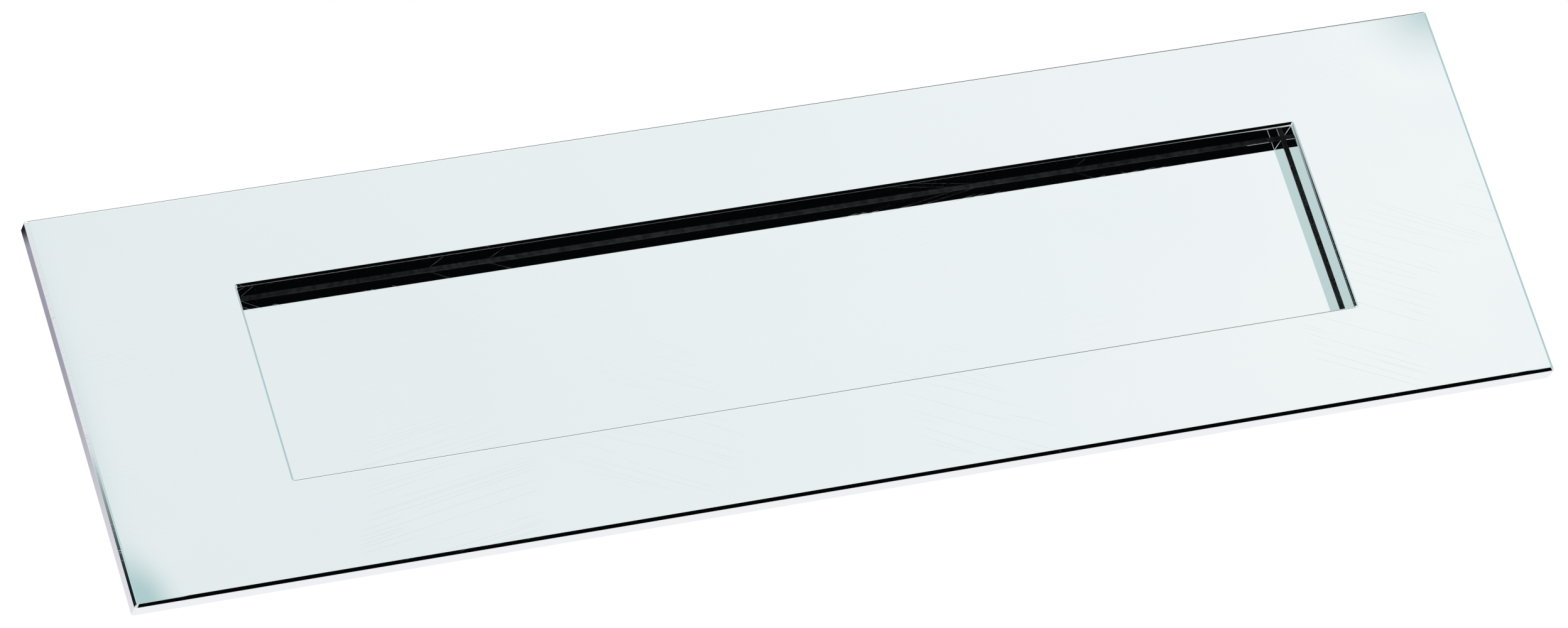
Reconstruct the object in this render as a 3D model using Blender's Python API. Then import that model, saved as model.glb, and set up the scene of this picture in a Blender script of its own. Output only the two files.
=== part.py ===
"""Letter plate with an inward-opening sprung flap, for bolt-through fixing to a door.

Frame: metres. X runs along the plate, Y into the door, Z up. The origin is the
middle of the plate's lower edge, on the plane where the plate's back meets the
door. The polished front face looks along -Y.
"""

import math

import bmesh
import bpy
from mathutils import Matrix, Vector

MM = 0.001

# Running clearance between neighbouring parts
GAP = 0.3 * MM

# Plate
PLATE_LENGTH = 254.0 * MM
PLATE_HEIGHT = 70.0 * MM
PLATE_THICKNESS = 3.2 * MM
PLATE_CORNER = 1.0 * MM
PLATE_ARRIS = 0.8 * MM
FRONT_Y = -PLATE_THICKNESS
MID_Z = PLATE_HEIGHT / 2
OPENING_LENGTH = 190.5 * MM
OPENING_HEIGHT = 35.0 * MM
OPENING_CORNER = 0.7 * MM
OPENING_ARRIS = 0.5 * MM
RIM_WIDTH = 2.4 * MM
RIM_BACK_Y = 0.8 * MM
HOLLOW_Y = -1.2 * MM
HOLLOW_LENGTH = 225.0 * MM
HOLLOW_HEIGHT = 56.0 * MM
HOLLOW_CORNER = 2.5 * MM
CAST_ROOT_Y = -2.0 * MM  # where bosses, pads and lugs start, inside the plate's metal

# Fixings
DOOR_THICKNESS = 44.0 * MM
STUD_X = 106.0 * MM
STUD_RADIUS = 2.5 * MM
STUD_BACK_Y = 52.0 * MM
STUD_FRONT_CHAMFER = 0.5 * MM
STUD_BACK_CHAMFER = 0.6 * MM
BOSS_RADIUS = 4.5 * MM
BOSS_BACK_Y = 5.0 * MM
BOSS_BORE_Y = HOLLOW_Y
WASHER_RADIUS = 6.0 * MM
WASHER_THICKNESS = 1.0 * MM
WASHER_CHAMFER = 0.2 * MM
NUT_ACROSS_FLATS = 8.0 * MM
NUT_HEIGHT = 4.0 * MM

# Hinge axis and knuckle
AXIS_Y = 4.8 * MM
AXIS_Z = 58.5 * MM
KNUCKLE_RADIUS = 3.0 * MM

# Flap
FLAP_HALF = 98.7 * MM
FLAP_FRONT_Y = AXIS_Y - KNUCKLE_RADIUS
FLAP_THICKNESS = 2.2 * MM
FLAP_BACK_Y = FLAP_FRONT_Y + FLAP_THICKNESS
FLAP_BOTTOM_Z = 10.2 * MM
FLAP_CORNER = 2.0 * MM
NOTCH_X = (7.0 * MM, 84.0 * MM)
NOTCH_Y = (-1.0 * MM, 12.0 * MM)
NOTCH_Z = (55.0 * MM, 70.0 * MM)

# Brackets
EAR_X = 100.2 * MM
EAR_THICKNESS = 2.2 * MM
EAR_RADIUS = 3.9 * MM
EAR_DROP = 0.2 * MM  # how far the ear's round head is centred below the pin
EAR_BOTTOM_RISE = 2.4 * MM  # from the foot's lower edge to the ear's
PAD_X = (103.0 * MM, 111.5 * MM)
PAD_Z = (49.8 * MM, 62.6 * MM)
PAD_BACK_Y = -0.6 * MM
FOOT_END_X = 111.0 * MM
FOOT_BASE_Y = PAD_BACK_Y + GAP
FOOT_THICKNESS = 1.8 * MM
FOOT_CORNER = 1.6 * MM
FOOT_Z = (50.4 * MM, 62.2 * MM)
FOOT_FRONT_Y = FOOT_BASE_Y + 0.02 * MM  # kept off the ear's front plane for a clean union
FOOT_INNER_X = EAR_X + 0.1 * MM  # likewise kept off the ear's inner face

# Bracket screws
SCREW_X = 107.4 * MM
SCREW_RADIUS = 1.0 * MM
SCREW_HEAD_RADIUS = 2.3 * MM
SCREW_HEAD_HEIGHT = 1.6 * MM
SCREW_HOLE_Y = -2.4 * MM
SCREW_HOLE_LENGTH = 4.0 * MM
SLOT_HALF_LENGTH = 3.0 * MM
SLOT_HALF_WIDTH = 0.35 * MM
SLOT_DEPTH = 0.75 * MM
# (level, Z, slot angle in degrees)
SCREWS = (("lower", 53.2 * MM, 20), ("upper", 59.4 * MM, 75))

# Pin and its clips
PIN_RADIUS = 1.5 * MM
PIN_HALF = 104.4 * MM
PIN_CHAMFER = 0.35 * MM
CLIP_THICKNESS = 0.5 * MM
CLIP_RADIUS = 2.9 * MM
GROOVE_X = EAR_X + EAR_THICKNESS + GAP + CLIP_THICKNESS / 2
GROOVE_WIDTH = 0.9 * MM
GROOVE_RADIUS = 1.1 * MM
CLIP_GRIP_RADIUS = GROOVE_RADIUS + 0.2 * MM
CLIP_RELIEF_RADIUS = GROOVE_RADIUS + 0.75 * MM
# Clip angles, in degrees from straight down, turning towards +Y
CLIP_MOUTH = 38  # half the mouth
CLIP_LUGS = (285, 180, 75)  # lug centres
CLIP_GRIP_OFFSETS = (17, 0, -17)  # points on each lug's tip
CLIP_RELIEF_OFFSETS = (-30, -52, -75)  # points between one lug and the next

# Springs, and the plate lugs they hook over
WIRE_RADIUS = 0.6 * MM
COIL_RADIUS = 2.6 * MM
COIL_TURNS = 9.25
COIL_PITCH = 1.55 * MM
COIL_LENGTH = COIL_PITCH * COIL_TURNS
COIL_START_X = 62.0 * MM
COIL_POINTS_PER_TURN = 14
SPRING_TIP_Y = HOLLOW_Y + GAP + WIRE_RADIUS
SPRING_FOOT_DROP = 14.0 * MM
SPRING_FOOT_SPREAD = 0.4 * MM
LUG_WIDTH = 2.4 * MM
LUG_HEIGHT = 1.8 * MM
LUG_TOP_Z = AXIS_Z + COIL_RADIUS - WIRE_RADIUS - GAP
LUG_BACK_Y = 0.9 * MM

# Buffers
BUFFER_X = 78.0 * MM
BUFFER_Z = 12.6 * MM
BUFFER_RADIUS = 2.0 * MM
BUFFER_ROUNDING = 0.9 * MM
BUFFER_BACK_Y = FLAP_FRONT_Y - GAP

ALONG_PLATE = (1, 0, 0)
INTO_DOOR = (0, 1, 0)
SIDES = ((-1, "left"), (1, "right"))

FINISHES = {
    "polished_chrome": dict(colour=(0.86, 0.90, 0.90), roughness=0.04, metallic=1.0),
    "bracket_plate": dict(colour=(0.62, 0.63, 0.62), roughness=0.35, metallic=1.0),
    "stainless_pin": dict(colour=(0.66, 0.67, 0.68), roughness=0.22, metallic=1.0),
    "spring_steel": dict(colour=(0.50, 0.51, 0.53), roughness=0.28, metallic=1.0),
    "zinc_steel": dict(colour=(0.70, 0.72, 0.74), roughness=0.30, metallic=1.0),
    "nylon": dict(colour=(0.88, 0.87, 0.82), roughness=0.45, metallic=0.0),
    "rubber": dict(colour=(0.03, 0.03, 0.03), roughness=0.75, metallic=0.0),
}


# --- materials and objects ---------------------------------------------------


def material(name, colour, roughness, metallic):
    mat = bpy.data.materials.new(name)
    mat.use_nodes = True
    shader = mat.node_tree.nodes["Principled BSDF"]
    shader.inputs["Base Color"].default_value = (*colour, 1.0)
    shader.inputs["Roughness"].default_value = roughness
    shader.inputs["Metallic"].default_value = metallic
    mat.diffuse_color = (*colour, 1.0)
    return mat


def add_finish(name, data, finish):
    data.materials.append(material(name + "_material", **FINISHES[finish]))


def place(name, body, finish=None, at=(0.0, 0.0, 0.0), smooth=35.0):
    """Turn a body in world metres into an object with its origin at a point.

    Without a finish it is a hidden helper. Edges sharper than smooth degrees stay sharp.
    """
    bmesh.ops.translate(body, verts=body.verts, vec=-Vector(at))
    bmesh.ops.recalc_face_normals(body, faces=body.faces)
    mesh = bpy.data.meshes.new(name)
    body.to_mesh(mesh)
    body.free()
    obj = bpy.data.objects.new(name, mesh)
    obj.location = at
    bpy.context.scene.collection.objects.link(obj)
    if finish is None:
        obj.hide_render = True
        obj.display_type = "WIRE"
    else:
        add_finish(name, mesh, finish)
        mesh.shade_smooth()
        mesh.set_sharp_from_angle(angle=math.radians(smooth))
    return obj


def boolean(obj, operation, tool_name, tool_body):
    """Place a helper and combine it with an object, after any earlier modifiers."""
    tool = place(tool_name, tool_body)
    modifier = obj.modifiers.new(operation.lower() + "_" + tool_name, "BOOLEAN")
    modifier.operation = operation
    modifier.solver = "EXACT"
    modifier.object = tool


# --- shapes ------------------------------------------------------------------


def skin(body, rows, closed):
    """Join each row of vertices to the next; a row of one vertex is a pole."""
    pairs = list(zip(rows, rows[1:]))
    if closed:
        pairs.append((rows[-1], rows[0]))
    for row, after in pairs:
        count = max(len(row), len(after))
        for i in range(count):
            j = (i + 1) % count
            if len(row) == 1:
                body.faces.new((row[0], after[j], after[i]))
            elif len(after) == 1:
                body.faces.new((row[i], row[j], after[0]))
            else:
                body.faces.new((row[i], row[j], after[j], after[i]))


def turned(body, profile, origin, along, segments=24, phase=0.0):
    """Add a turned body. profile is [(distance along the axis, radius)].

    A profile that starts on the axis gives a solid; any other is closed into a ring.
    """
    along = Vector(along).normalized()
    across = along.orthogonal().normalized()
    upright = along.cross(across)
    rows = []
    for distance, radius in profile:
        centre = Vector(origin) + along * distance
        if radius < 1e-9:
            rows.append([body.verts.new(centre)])
            continue
        row = []
        for i in range(segments):
            angle = phase + 2 * math.pi * i / segments
            spoke = math.cos(angle) * across + math.sin(angle) * upright
            row.append(body.verts.new(centre + radius * spoke))
        rows.append(row)
    skin(body, rows, closed=len(rows[0]) > 1)
    return body


def rod(start, end, radius):
    """Profile of a plain cylinder, for turned()."""
    return [(start, 0), (start, radius), (end, radius), (end, 0)]


def prism(body, outline, vector):
    """Add the body swept by a flat outline along a vector."""
    face = body.faces.new([body.verts.new(point) for point in outline])
    made = bmesh.ops.extrude_face_region(body, geom=[face], use_keep_orig=True)
    moved = [item for item in made["geom"] if isinstance(item, bmesh.types.BMVert)]
    bmesh.ops.translate(body, verts=moved, vec=Vector(vector))
    return body


def block(body, x_range, y_range, z_range):
    front, back = y_range
    corners = ((0, 0), (1, 0), (1, 1), (0, 1))
    outline = [Vector((x_range[i], front, z_range[j])) for i, j in corners]
    return prism(body, outline, (0, back - front, 0))


def mirrored(side, x_range):
    """A range of X on one side of the plate, in rising order."""
    return sorted(side * x for x in x_range)


def arris(radius, steps):
    """(distance in from the edge, depth from the face) round a quarter circle, side first."""
    for step in range(steps + 1):
        angle = math.radians(90 * step / steps)
        yield radius * (1 - math.cos(angle)), radius * (1 - math.sin(angle))


def rounded_rectangle(half_x, half_z, radius, y, segments=3):
    """Points round a rectangle centred on the plate's middle, from +X towards +Z."""
    points = []
    for quarter in range(4):
        sign_x = 1 if quarter in (0, 3) else -1
        sign_z = 1 if quarter in (0, 1) else -1
        centre = Vector((sign_x * (half_x - radius), y, MID_Z + sign_z * (half_z - radius)))
        for step in range(segments + 1):
            angle = math.radians(90 * quarter + 90 * step / segments)
            points.append(centre + radius * Vector((math.cos(angle), 0, math.sin(angle))))
    return points


def on_axis(x):
    return Vector((x, AXIS_Y, AXIS_Z))


def about_axis(x, radius, angle):
    """A point round the hinge axis; the angle runs from +Y towards +Z."""
    return on_axis(x) + radius * Vector((0, math.cos(angle), math.sin(angle)))


# --- face plate --------------------------------------------------------------


def opening_loop(offset, y):
    """The opening's outline, enlarged by an offset."""
    return rounded_rectangle(
        OPENING_LENGTH / 2 + offset, OPENING_HEIGHT / 2 + offset, OPENING_CORNER + offset, y
    )


def plate_loops():
    """Loops from the back's outer edge, over the front, through the opening to the hollow."""

    def edge_loop(inset, y):
        # the corner radius shrinks more slowly than the inset, so it never reaches zero
        radius = PLATE_CORNER - 0.75 * inset
        return rounded_rectangle(PLATE_LENGTH / 2 - inset, PLATE_HEIGHT / 2 - inset, radius, y)

    def hollow_loop(y):
        return rounded_rectangle(HOLLOW_LENGTH / 2, HOLLOW_HEIGHT / 2, HOLLOW_CORNER, y)

    loops = [edge_loop(0.0, 0.0)]
    for inset, depth in arris(PLATE_ARRIS, 3):
        loops.append(edge_loop(inset, FRONT_Y + depth))
    for inset, depth in reversed(list(arris(OPENING_ARRIS, 2))):
        loops.append(opening_loop(inset, FRONT_Y + depth))
    return loops + [
        opening_loop(0.0, RIM_BACK_Y),
        opening_loop(RIM_WIDTH, RIM_BACK_Y),
        opening_loop(RIM_WIDTH, HOLLOW_Y),
        hollow_loop(HOLLOW_Y),
        hollow_loop(0.0),
    ]


def plate_castings():
    """Stud bosses, bracket pads and spring lugs on the plate's back."""
    body = bmesh.new()
    length = BOSS_BACK_Y - CAST_ROOT_Y
    boss = [
        (0, 0),
        (0, BOSS_RADIUS),
        (length - 0.2 * MM, BOSS_RADIUS - 0.2 * MM),
        (length, BOSS_RADIUS - 0.5 * MM),
        (length, 0),
    ]
    for side, _ in SIDES:
        turned(body, boss, (side * STUD_X, CAST_ROOT_Y, MID_Z), INTO_DOOR)
        block(body, mirrored(side, PAD_X), (CAST_ROOT_Y, PAD_BACK_Y), PAD_Z)
        block(
            body,
            mirrored(side, (COIL_START_X - LUG_WIDTH, COIL_START_X)),
            (CAST_ROOT_Y, LUG_BACK_Y),
            (LUG_TOP_Z - LUG_HEIGHT, LUG_TOP_Z),
        )
    return body


def plate_drillings():
    """Holes for the studs and the bracket screws."""
    body = bmesh.new()
    stud_hole = rod(0, BOSS_BACK_Y + 1.0 * MM - BOSS_BORE_Y, STUD_RADIUS + GAP)
    screw_hole = rod(0, SCREW_HOLE_LENGTH, SCREW_RADIUS + GAP)
    for side, _ in SIDES:
        turned(body, stud_hole, (side * STUD_X, BOSS_BORE_Y, MID_Z), INTO_DOOR)
        for _, z, _ in SCREWS:
            start = (side * SCREW_X, SCREW_HOLE_Y, z)
            turned(body, screw_hole, start, INTO_DOOR, segments=12)
    return body


def build_plate():
    body = bmesh.new()
    rows = [[body.verts.new(point) for point in loop] for loop in plate_loops()]
    skin(body, rows, closed=True)
    plate = place("face_plate", body, "polished_chrome")
    boolean(plate, "UNION", "plate_bosses", plate_castings())
    boolean(plate, "DIFFERENCE", "plate_drillings", plate_drillings())


# --- flap --------------------------------------------------------------------


def flap_profile(x):
    """Section across the hinge: a plate whose top rolls into a barrel round the pin."""
    points = [Vector((x, FLAP_FRONT_Y, FLAP_BOTTOM_Z)), Vector((x, FLAP_FRONT_Y, AXIS_Z))]
    # the barrel runs over the top and down to where it meets the plate's back
    end = math.acos((FLAP_BACK_Y - AXIS_Y) / KNUCKLE_RADIUS)
    steps = 14
    for step in range(1, steps + 1):
        angle = math.pi - (math.pi + end) * step / steps
        points.append(about_axis(x, KNUCKLE_RADIUS, angle))
    points.append(Vector((x, FLAP_BACK_Y, FLAP_BOTTOM_Z)))
    return points


def round_lower_corners(body):
    bmesh.ops.recalc_face_normals(body, faces=body.faces)
    corners = [
        edge
        for edge in body.edges
        if all(abs(vert.co.z - FLAP_BOTTOM_Z) < 1e-7 for vert in edge.verts)
        and abs(edge.verts[0].co.x - edge.verts[1].co.x) < 1e-7
    ]
    bmesh.ops.bevel(
        body,
        geom=corners,
        offset=FLAP_CORNER,
        offset_type="OFFSET",
        segments=4,
        profile=0.5,
        affect="EDGES",
    )


def build_flap():
    hinge = bpy.data.objects.new("flap_hinge_axis", None)
    hinge.location = on_axis(0)
    hinge.empty_display_size = 10 * MM
    bpy.context.scene.collection.objects.link(hinge)

    body = prism(bmesh.new(), flap_profile(-FLAP_HALF), (2 * FLAP_HALF, 0, 0))
    round_lower_corners(body)
    flap = place("flap", body, "polished_chrome", at=on_axis(0))
    flap.parent = hinge
    flap.location = (0, 0, 0)

    # the barrel is cut away where the springs sit, leaving a middle and two end knuckles
    notches = bmesh.new()
    for side, _ in SIDES:
        block(notches, mirrored(side, NOTCH_X), NOTCH_Y, NOTCH_Z)
    boolean(flap, "DIFFERENCE", "flap_notches", notches)
    overrun = 1 * MM
    bore = rod(0, 2 * (FLAP_HALF + overrun), PIN_RADIUS + GAP)
    start = on_axis(-FLAP_HALF - overrun)
    boolean(flap, "DIFFERENCE", "flap_bore", turned(bmesh.new(), bore, start, ALONG_PLATE))


# --- hinge pin, clips and washers --------------------------------------------


def build_pin():
    inner, outer = GROOVE_X - GROOVE_WIDTH / 2, GROOVE_X + GROOVE_WIDTH / 2
    right_half = [
        (inner, PIN_RADIUS),
        (inner, GROOVE_RADIUS),
        (outer, GROOVE_RADIUS),
        (outer, PIN_RADIUS),
        (PIN_HALF - PIN_CHAMFER, PIN_RADIUS),
        (PIN_HALF, PIN_RADIUS - PIN_CHAMFER),
        (PIN_HALF, 0),
    ]
    profile = [(-distance, radius) for distance, radius in reversed(right_half)] + right_half
    body = turned(bmesh.new(), profile, on_axis(0), ALONG_PLATE)
    place("hinge_pin", body, "stainless_pin", at=on_axis(0))


def clip_outline(x):
    """An E-shaped snap ring: a round back, a mouth facing down, and three gripping lugs."""

    def point(radius, degrees):
        return about_axis(x, radius, math.radians(degrees - 90))

    steps = 24
    sweep = 360 - 2 * CLIP_MOUTH
    points = [point(CLIP_RADIUS, CLIP_MOUTH + sweep * step / steps) for step in range(steps + 1)]
    # back along the inside, lug by lug
    for centre in CLIP_LUGS:
        points += [point(CLIP_GRIP_RADIUS, centre + offset) for offset in CLIP_GRIP_OFFSETS]
        if centre != CLIP_LUGS[-1]:
            points += [point(CLIP_RELIEF_RADIUS, centre + off) for off in CLIP_RELIEF_OFFSETS]
    return points


def build_clip(side, label):
    outline = clip_outline(side * GROOVE_X - CLIP_THICKNESS / 2)
    body = prism(bmesh.new(), outline, (CLIP_THICKNESS, 0, 0))
    place("pin_clip_" + label, body, "spring_steel", at=on_axis(side * GROOVE_X))


def build_hinge_washer(side, label):
    """A washer on the pin, between the flap's end and the bracket ear."""
    bore = PIN_RADIUS + GAP
    start, end = FLAP_HALF + GAP, EAR_X - GAP
    profile = [(start, bore), (start, KNUCKLE_RADIUS), (end, KNUCKLE_RADIUS), (end, bore)]
    body = turned(bmesh.new(), profile, on_axis(0), (side, 0, 0))
    place("hinge_washer_" + label, body, "nylon", at=on_axis(side * (start + end) / 2))


# --- brackets and their screws -----------------------------------------------


def ear_outline(x):
    """A foot that narrows to a round head about the pin."""
    points = [
        Vector((x, FOOT_BASE_Y, FOOT_Z[0] + EAR_BOTTOM_RISE)),
        Vector((x, FOOT_BASE_Y, FOOT_Z[1])),
        Vector((x, FOOT_BASE_Y + FOOT_THICKNESS, FOOT_Z[1])),
    ]
    steps = 12
    for step in range(steps + 1):
        angle = math.radians(100 - 190 * step / steps)
        points.append(about_axis(x, EAR_RADIUS, angle) - Vector((0, 0, EAR_DROP)))
    return points


def foot_outline(side):
    """The foot seen along Y, with its two outer corners rounded."""
    points = []
    centre_x = FOOT_END_X - FOOT_CORNER
    for centre_z, start in ((FOOT_Z[0] + FOOT_CORNER, 270), (FOOT_Z[1] - FOOT_CORNER, 0)):
        for step in range(4):
            angle = math.radians(start + 30 * step)
            x = centre_x + FOOT_CORNER * math.cos(angle)
            z = centre_z + FOOT_CORNER * math.sin(angle)
            points.append(Vector((side * x, FOOT_FRONT_Y, z)))
    for z in (FOOT_Z[1] - 0.1 * MM, FOOT_Z[0]):
        points.append(Vector((side * FOOT_INNER_X, FOOT_FRONT_Y, z)))
    return points


def bracket_holes(side):
    """The pin hole through the ear and the screw holes through the foot."""
    cut_length = 6 * MM
    pin_start = on_axis(side * (EAR_X - 1.5 * MM))
    body = bmesh.new()
    turned(body, rod(0, cut_length, PIN_RADIUS + GAP), pin_start, (side, 0, 0))
    screw_hole = rod(0, cut_length, SCREW_RADIUS + 0.4 * MM)
    for _, z, _ in SCREWS:
        start = (side * SCREW_X, FOOT_BASE_Y - 2 * MM, z)
        turned(body, screw_hole, start, INTO_DOOR, segments=16)
    return body


def build_bracket(side, label):
    foot = prism(bmesh.new(), foot_outline(side), (0, FOOT_THICKNESS, 0))
    bracket = place("hinge_bracket_" + label, foot, "bracket_plate", at=on_axis(side * EAR_X))
    ear = prism(bmesh.new(), ear_outline(side * EAR_X), (side * EAR_THICKNESS, 0, 0))
    boolean(bracket, "UNION", "bracket_ear_" + label, ear)
    boolean(bracket, "DIFFERENCE", "bracket_holes_" + label, bracket_holes(side))


def build_bracket_screw(side, label, level, z, slot_angle):
    under = FOOT_FRONT_Y + FOOT_THICKNESS + GAP
    top = under + SCREW_HEAD_HEIGHT
    tip = SCREW_HOLE_Y + GAP
    profile = [
        (tip, 0),
        (tip, SCREW_RADIUS - 0.25 * MM),
        (tip + 0.3 * MM, SCREW_RADIUS),
        (under, SCREW_RADIUS),
        (under, SCREW_HEAD_RADIUS),
        (top - 0.5 * MM, SCREW_HEAD_RADIUS),
        (top - 0.12 * MM, SCREW_HEAD_RADIUS - 0.3 * MM),
        (top, SCREW_HEAD_RADIUS - 0.8 * MM),
        (top, 0),
    ]
    centre = (side * SCREW_X, 0, z)
    body = turned(bmesh.new(), profile, centre, INTO_DOOR, segments=16)
    screw = place(f"bracket_screw_{label}_{level}", body, "zinc_steel", at=centre)

    slot = block(
        bmesh.new(),
        (-SLOT_HALF_LENGTH, SLOT_HALF_LENGTH),
        (top - SLOT_DEPTH, top + 1 * MM),
        (-SLOT_HALF_WIDTH, SLOT_HALF_WIDTH),
    )
    turn = Matrix.Rotation(math.radians(side * slot_angle), 4, "Y")
    bmesh.ops.transform(slot, matrix=turn, verts=slot.verts)
    bmesh.ops.translate(slot, verts=slot.verts, vec=centre)
    boolean(screw, "DIFFERENCE", f"screw_slot_{label}_{level}", slot)


# --- torsion springs ---------------------------------------------------------


def spring_path():
    """Centre line of the +X spring: a leg over the plate's lug, the coil, a leg down the flap."""
    points = []
    # the plate leg, from its tip to the coil; it slants over to the lug's middle
    for part in (1.0, 0.75, 0.5, 0.25, 0.08):
        x = COIL_START_X - LUG_WIDTH / 2 * min(1.0, 2.2 * part)
        y = AXIS_Y + (SPRING_TIP_Y - AXIS_Y) * part
        points.append(Vector((x, y, AXIS_Z + COIL_RADIUS)))

    count = round(COIL_TURNS * COIL_POINTS_PER_TURN)
    for i in range(count + 1):
        angle = math.pi / 2 - 2 * math.pi * COIL_TURNS * i / count
        points.append(about_axis(COIL_START_X + COIL_LENGTH * i / count, COIL_RADIUS, angle))

    # the flap leg, easing from the coil's back down to the flap's back
    rest_y = FLAP_BACK_Y + WIRE_RADIUS + GAP
    coil_y = AXIS_Y + COIL_RADIUS
    for part in (0.1, 0.35, 0.65, 1.0):
        x = COIL_START_X + COIL_LENGTH + SPRING_FOOT_SPREAD * part
        y = coil_y + (rest_y - coil_y) * part**1.3
        points.append(Vector((x, y, AXIS_Z - SPRING_FOOT_DROP * part)))
    return points


def build_spring(side, label):
    name = "torsion_spring_" + label
    curve = bpy.data.curves.new(name, "CURVE")
    curve.dimensions = "3D"
    curve.bevel_depth = WIRE_RADIUS
    curve.bevel_resolution = 1
    curve.use_fill_caps = True
    curve.twist_mode = "MINIMUM"
    path = spring_path()
    spline = curve.splines.new("POLY")
    spline.points.add(len(path) - 1)
    for point, target in zip(spline.points, path):
        point.co = (side * target.x, target.y - AXIS_Y, target.z - AXIS_Z, 1.0)
    add_finish(name, curve, "spring_steel")
    spring = bpy.data.objects.new(name, curve)
    spring.location = on_axis(0)
    bpy.context.scene.collection.objects.link(spring)


# --- studs, washers and nuts -------------------------------------------------


def build_stud(side, label):
    start = BOSS_BORE_Y + GAP
    profile = [
        (start, 0),
        (start, STUD_RADIUS - STUD_FRONT_CHAMFER),
        (start + STUD_FRONT_CHAMFER, STUD_RADIUS),
        (STUD_BACK_Y - STUD_BACK_CHAMFER, STUD_RADIUS),
        (STUD_BACK_Y, STUD_RADIUS - STUD_BACK_CHAMFER),
        (STUD_BACK_Y, 0),
    ]
    centre = (side * STUD_X, 0, MID_Z)
    body = turned(bmesh.new(), profile, centre, INTO_DOOR)
    place("fixing_stud_" + label, body, "zinc_steel", at=centre)


def build_fixing_washer(side, label):
    """A washer on the door's inner face."""
    bore = STUD_RADIUS + GAP
    front, back = DOOR_THICKNESS, DOOR_THICKNESS + WASHER_THICKNESS
    profile = [
        (front, bore),
        (front, WASHER_RADIUS),
        (back - WASHER_CHAMFER, WASHER_RADIUS),
        (back, WASHER_RADIUS - WASHER_CHAMFER),
        (back, bore),
    ]
    x = side * STUD_X
    body = turned(bmesh.new(), profile, (x, 0, MID_Z), INTO_DOOR)
    place("fixing_washer_" + label, body, "zinc_steel", at=(x, front, MID_Z))


def build_nut(side, label):
    """A hexagon nut with both faces chamfered, and a plain bore."""
    x = side * STUD_X
    centre = (x, 0, MID_Z)
    front = DOOR_THICKNESS + WASHER_THICKNESS + GAP
    back = front + NUT_HEIGHT
    flat = NUT_ACROSS_FLATS / 2
    hexagon = turned(
        bmesh.new(),
        rod(front, back, flat / math.cos(math.pi / 6)),
        centre,
        INTO_DOOR,
        segments=6,
        phase=side * math.radians(15),
    )
    nut = place(
        "fixing_nut_" + label, hexagon, "zinc_steel", at=(x, front, MID_Z), smooth=20.0
    )

    margin = 0.05 * MM
    chamfer_depth = 0.55 * MM
    end_radius, full_radius = flat - 0.1 * MM, flat * 1.17
    profile = [
        (front - margin, 0),
        (front - margin, end_radius),
        (front + chamfer_depth, full_radius),
        (back - chamfer_depth, full_radius),
        (back + margin, end_radius),
        (back + margin, 0),
    ]
    chamfer = turned(bmesh.new(), profile, centre, INTO_DOOR, segments=30)
    boolean(nut, "INTERSECT", "nut_chamfer_" + label, chamfer)
    bore = rod(front - 1 * MM, back + 1 * MM, STUD_RADIUS + GAP)
    bore_body = turned(bmesh.new(), bore, centre, INTO_DOOR)
    boolean(nut, "DIFFERENCE", "nut_bore_" + label, bore_body)


# --- buffers -----------------------------------------------------------------


def build_buffer(side, label):
    """A round-edged button between the plate's hollow and the flap's front."""
    base = HOLLOW_Y + GAP
    profile = [(base, 0), (base, BUFFER_RADIUS)]
    for inset, depth in arris(BUFFER_ROUNDING, 4):
        profile.append((BUFFER_BACK_Y - depth, BUFFER_RADIUS - inset))
    profile.append((BUFFER_BACK_Y, 0))
    centre = (side * BUFFER_X, 0, BUFFER_Z)
    body = turned(bmesh.new(), profile, centre, INTO_DOOR, segments=20)
    place("flap_buffer_" + label, body, "rubber", at=centre)


# --- assembly ----------------------------------------------------------------

for old in list(bpy.data.objects):
    bpy.data.objects.remove(old, do_unlink=True)

build_plate()
build_flap()
build_pin()
for side, label in SIDES:
    build_clip(side, label)
    build_hinge_washer(side, label)
    build_bracket(side, label)
    for level, z, slot_angle in SCREWS:
        build_bracket_screw(side, label, level, z, slot_angle)
    build_spring(side, label)
    build_stud(side, label)
    build_fixing_washer(side, label)
    build_nut(side, label)
    build_buffer(side, label)

bpy.context.view_layer.update()
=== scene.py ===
"""A chromed face plate with a long opening and a flap hung on a hinge pin.

X runs along the plate, which is symmetric about X = 0, and Z is up. The polished front looks
towards -Y. The plate's back edge lies at Y = 0, and brackets, springs and studs stand behind it.
"""

import math

import bmesh
import bpy
from mathutils import Matrix, Vector


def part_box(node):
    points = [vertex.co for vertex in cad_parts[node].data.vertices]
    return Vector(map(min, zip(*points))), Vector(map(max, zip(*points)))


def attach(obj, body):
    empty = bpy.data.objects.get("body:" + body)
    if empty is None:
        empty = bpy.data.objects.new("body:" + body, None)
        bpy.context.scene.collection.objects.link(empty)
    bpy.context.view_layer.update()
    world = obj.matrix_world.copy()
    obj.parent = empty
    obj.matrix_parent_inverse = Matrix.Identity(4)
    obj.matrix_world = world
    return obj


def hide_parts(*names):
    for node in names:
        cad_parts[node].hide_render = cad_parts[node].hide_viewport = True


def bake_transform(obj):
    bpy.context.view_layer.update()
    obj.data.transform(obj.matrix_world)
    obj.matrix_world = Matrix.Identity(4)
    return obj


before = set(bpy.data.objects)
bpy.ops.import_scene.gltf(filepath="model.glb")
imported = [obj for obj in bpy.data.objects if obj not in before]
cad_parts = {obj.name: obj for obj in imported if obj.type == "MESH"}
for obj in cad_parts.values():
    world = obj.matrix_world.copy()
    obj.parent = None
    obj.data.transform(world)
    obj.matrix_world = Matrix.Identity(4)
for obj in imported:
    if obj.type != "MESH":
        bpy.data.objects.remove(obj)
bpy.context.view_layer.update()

MM = 0.001
scene = bpy.context.scene


def mm(*values):
    """Millimetres to metres."""
    return tuple(value * MM for value in values)


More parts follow.
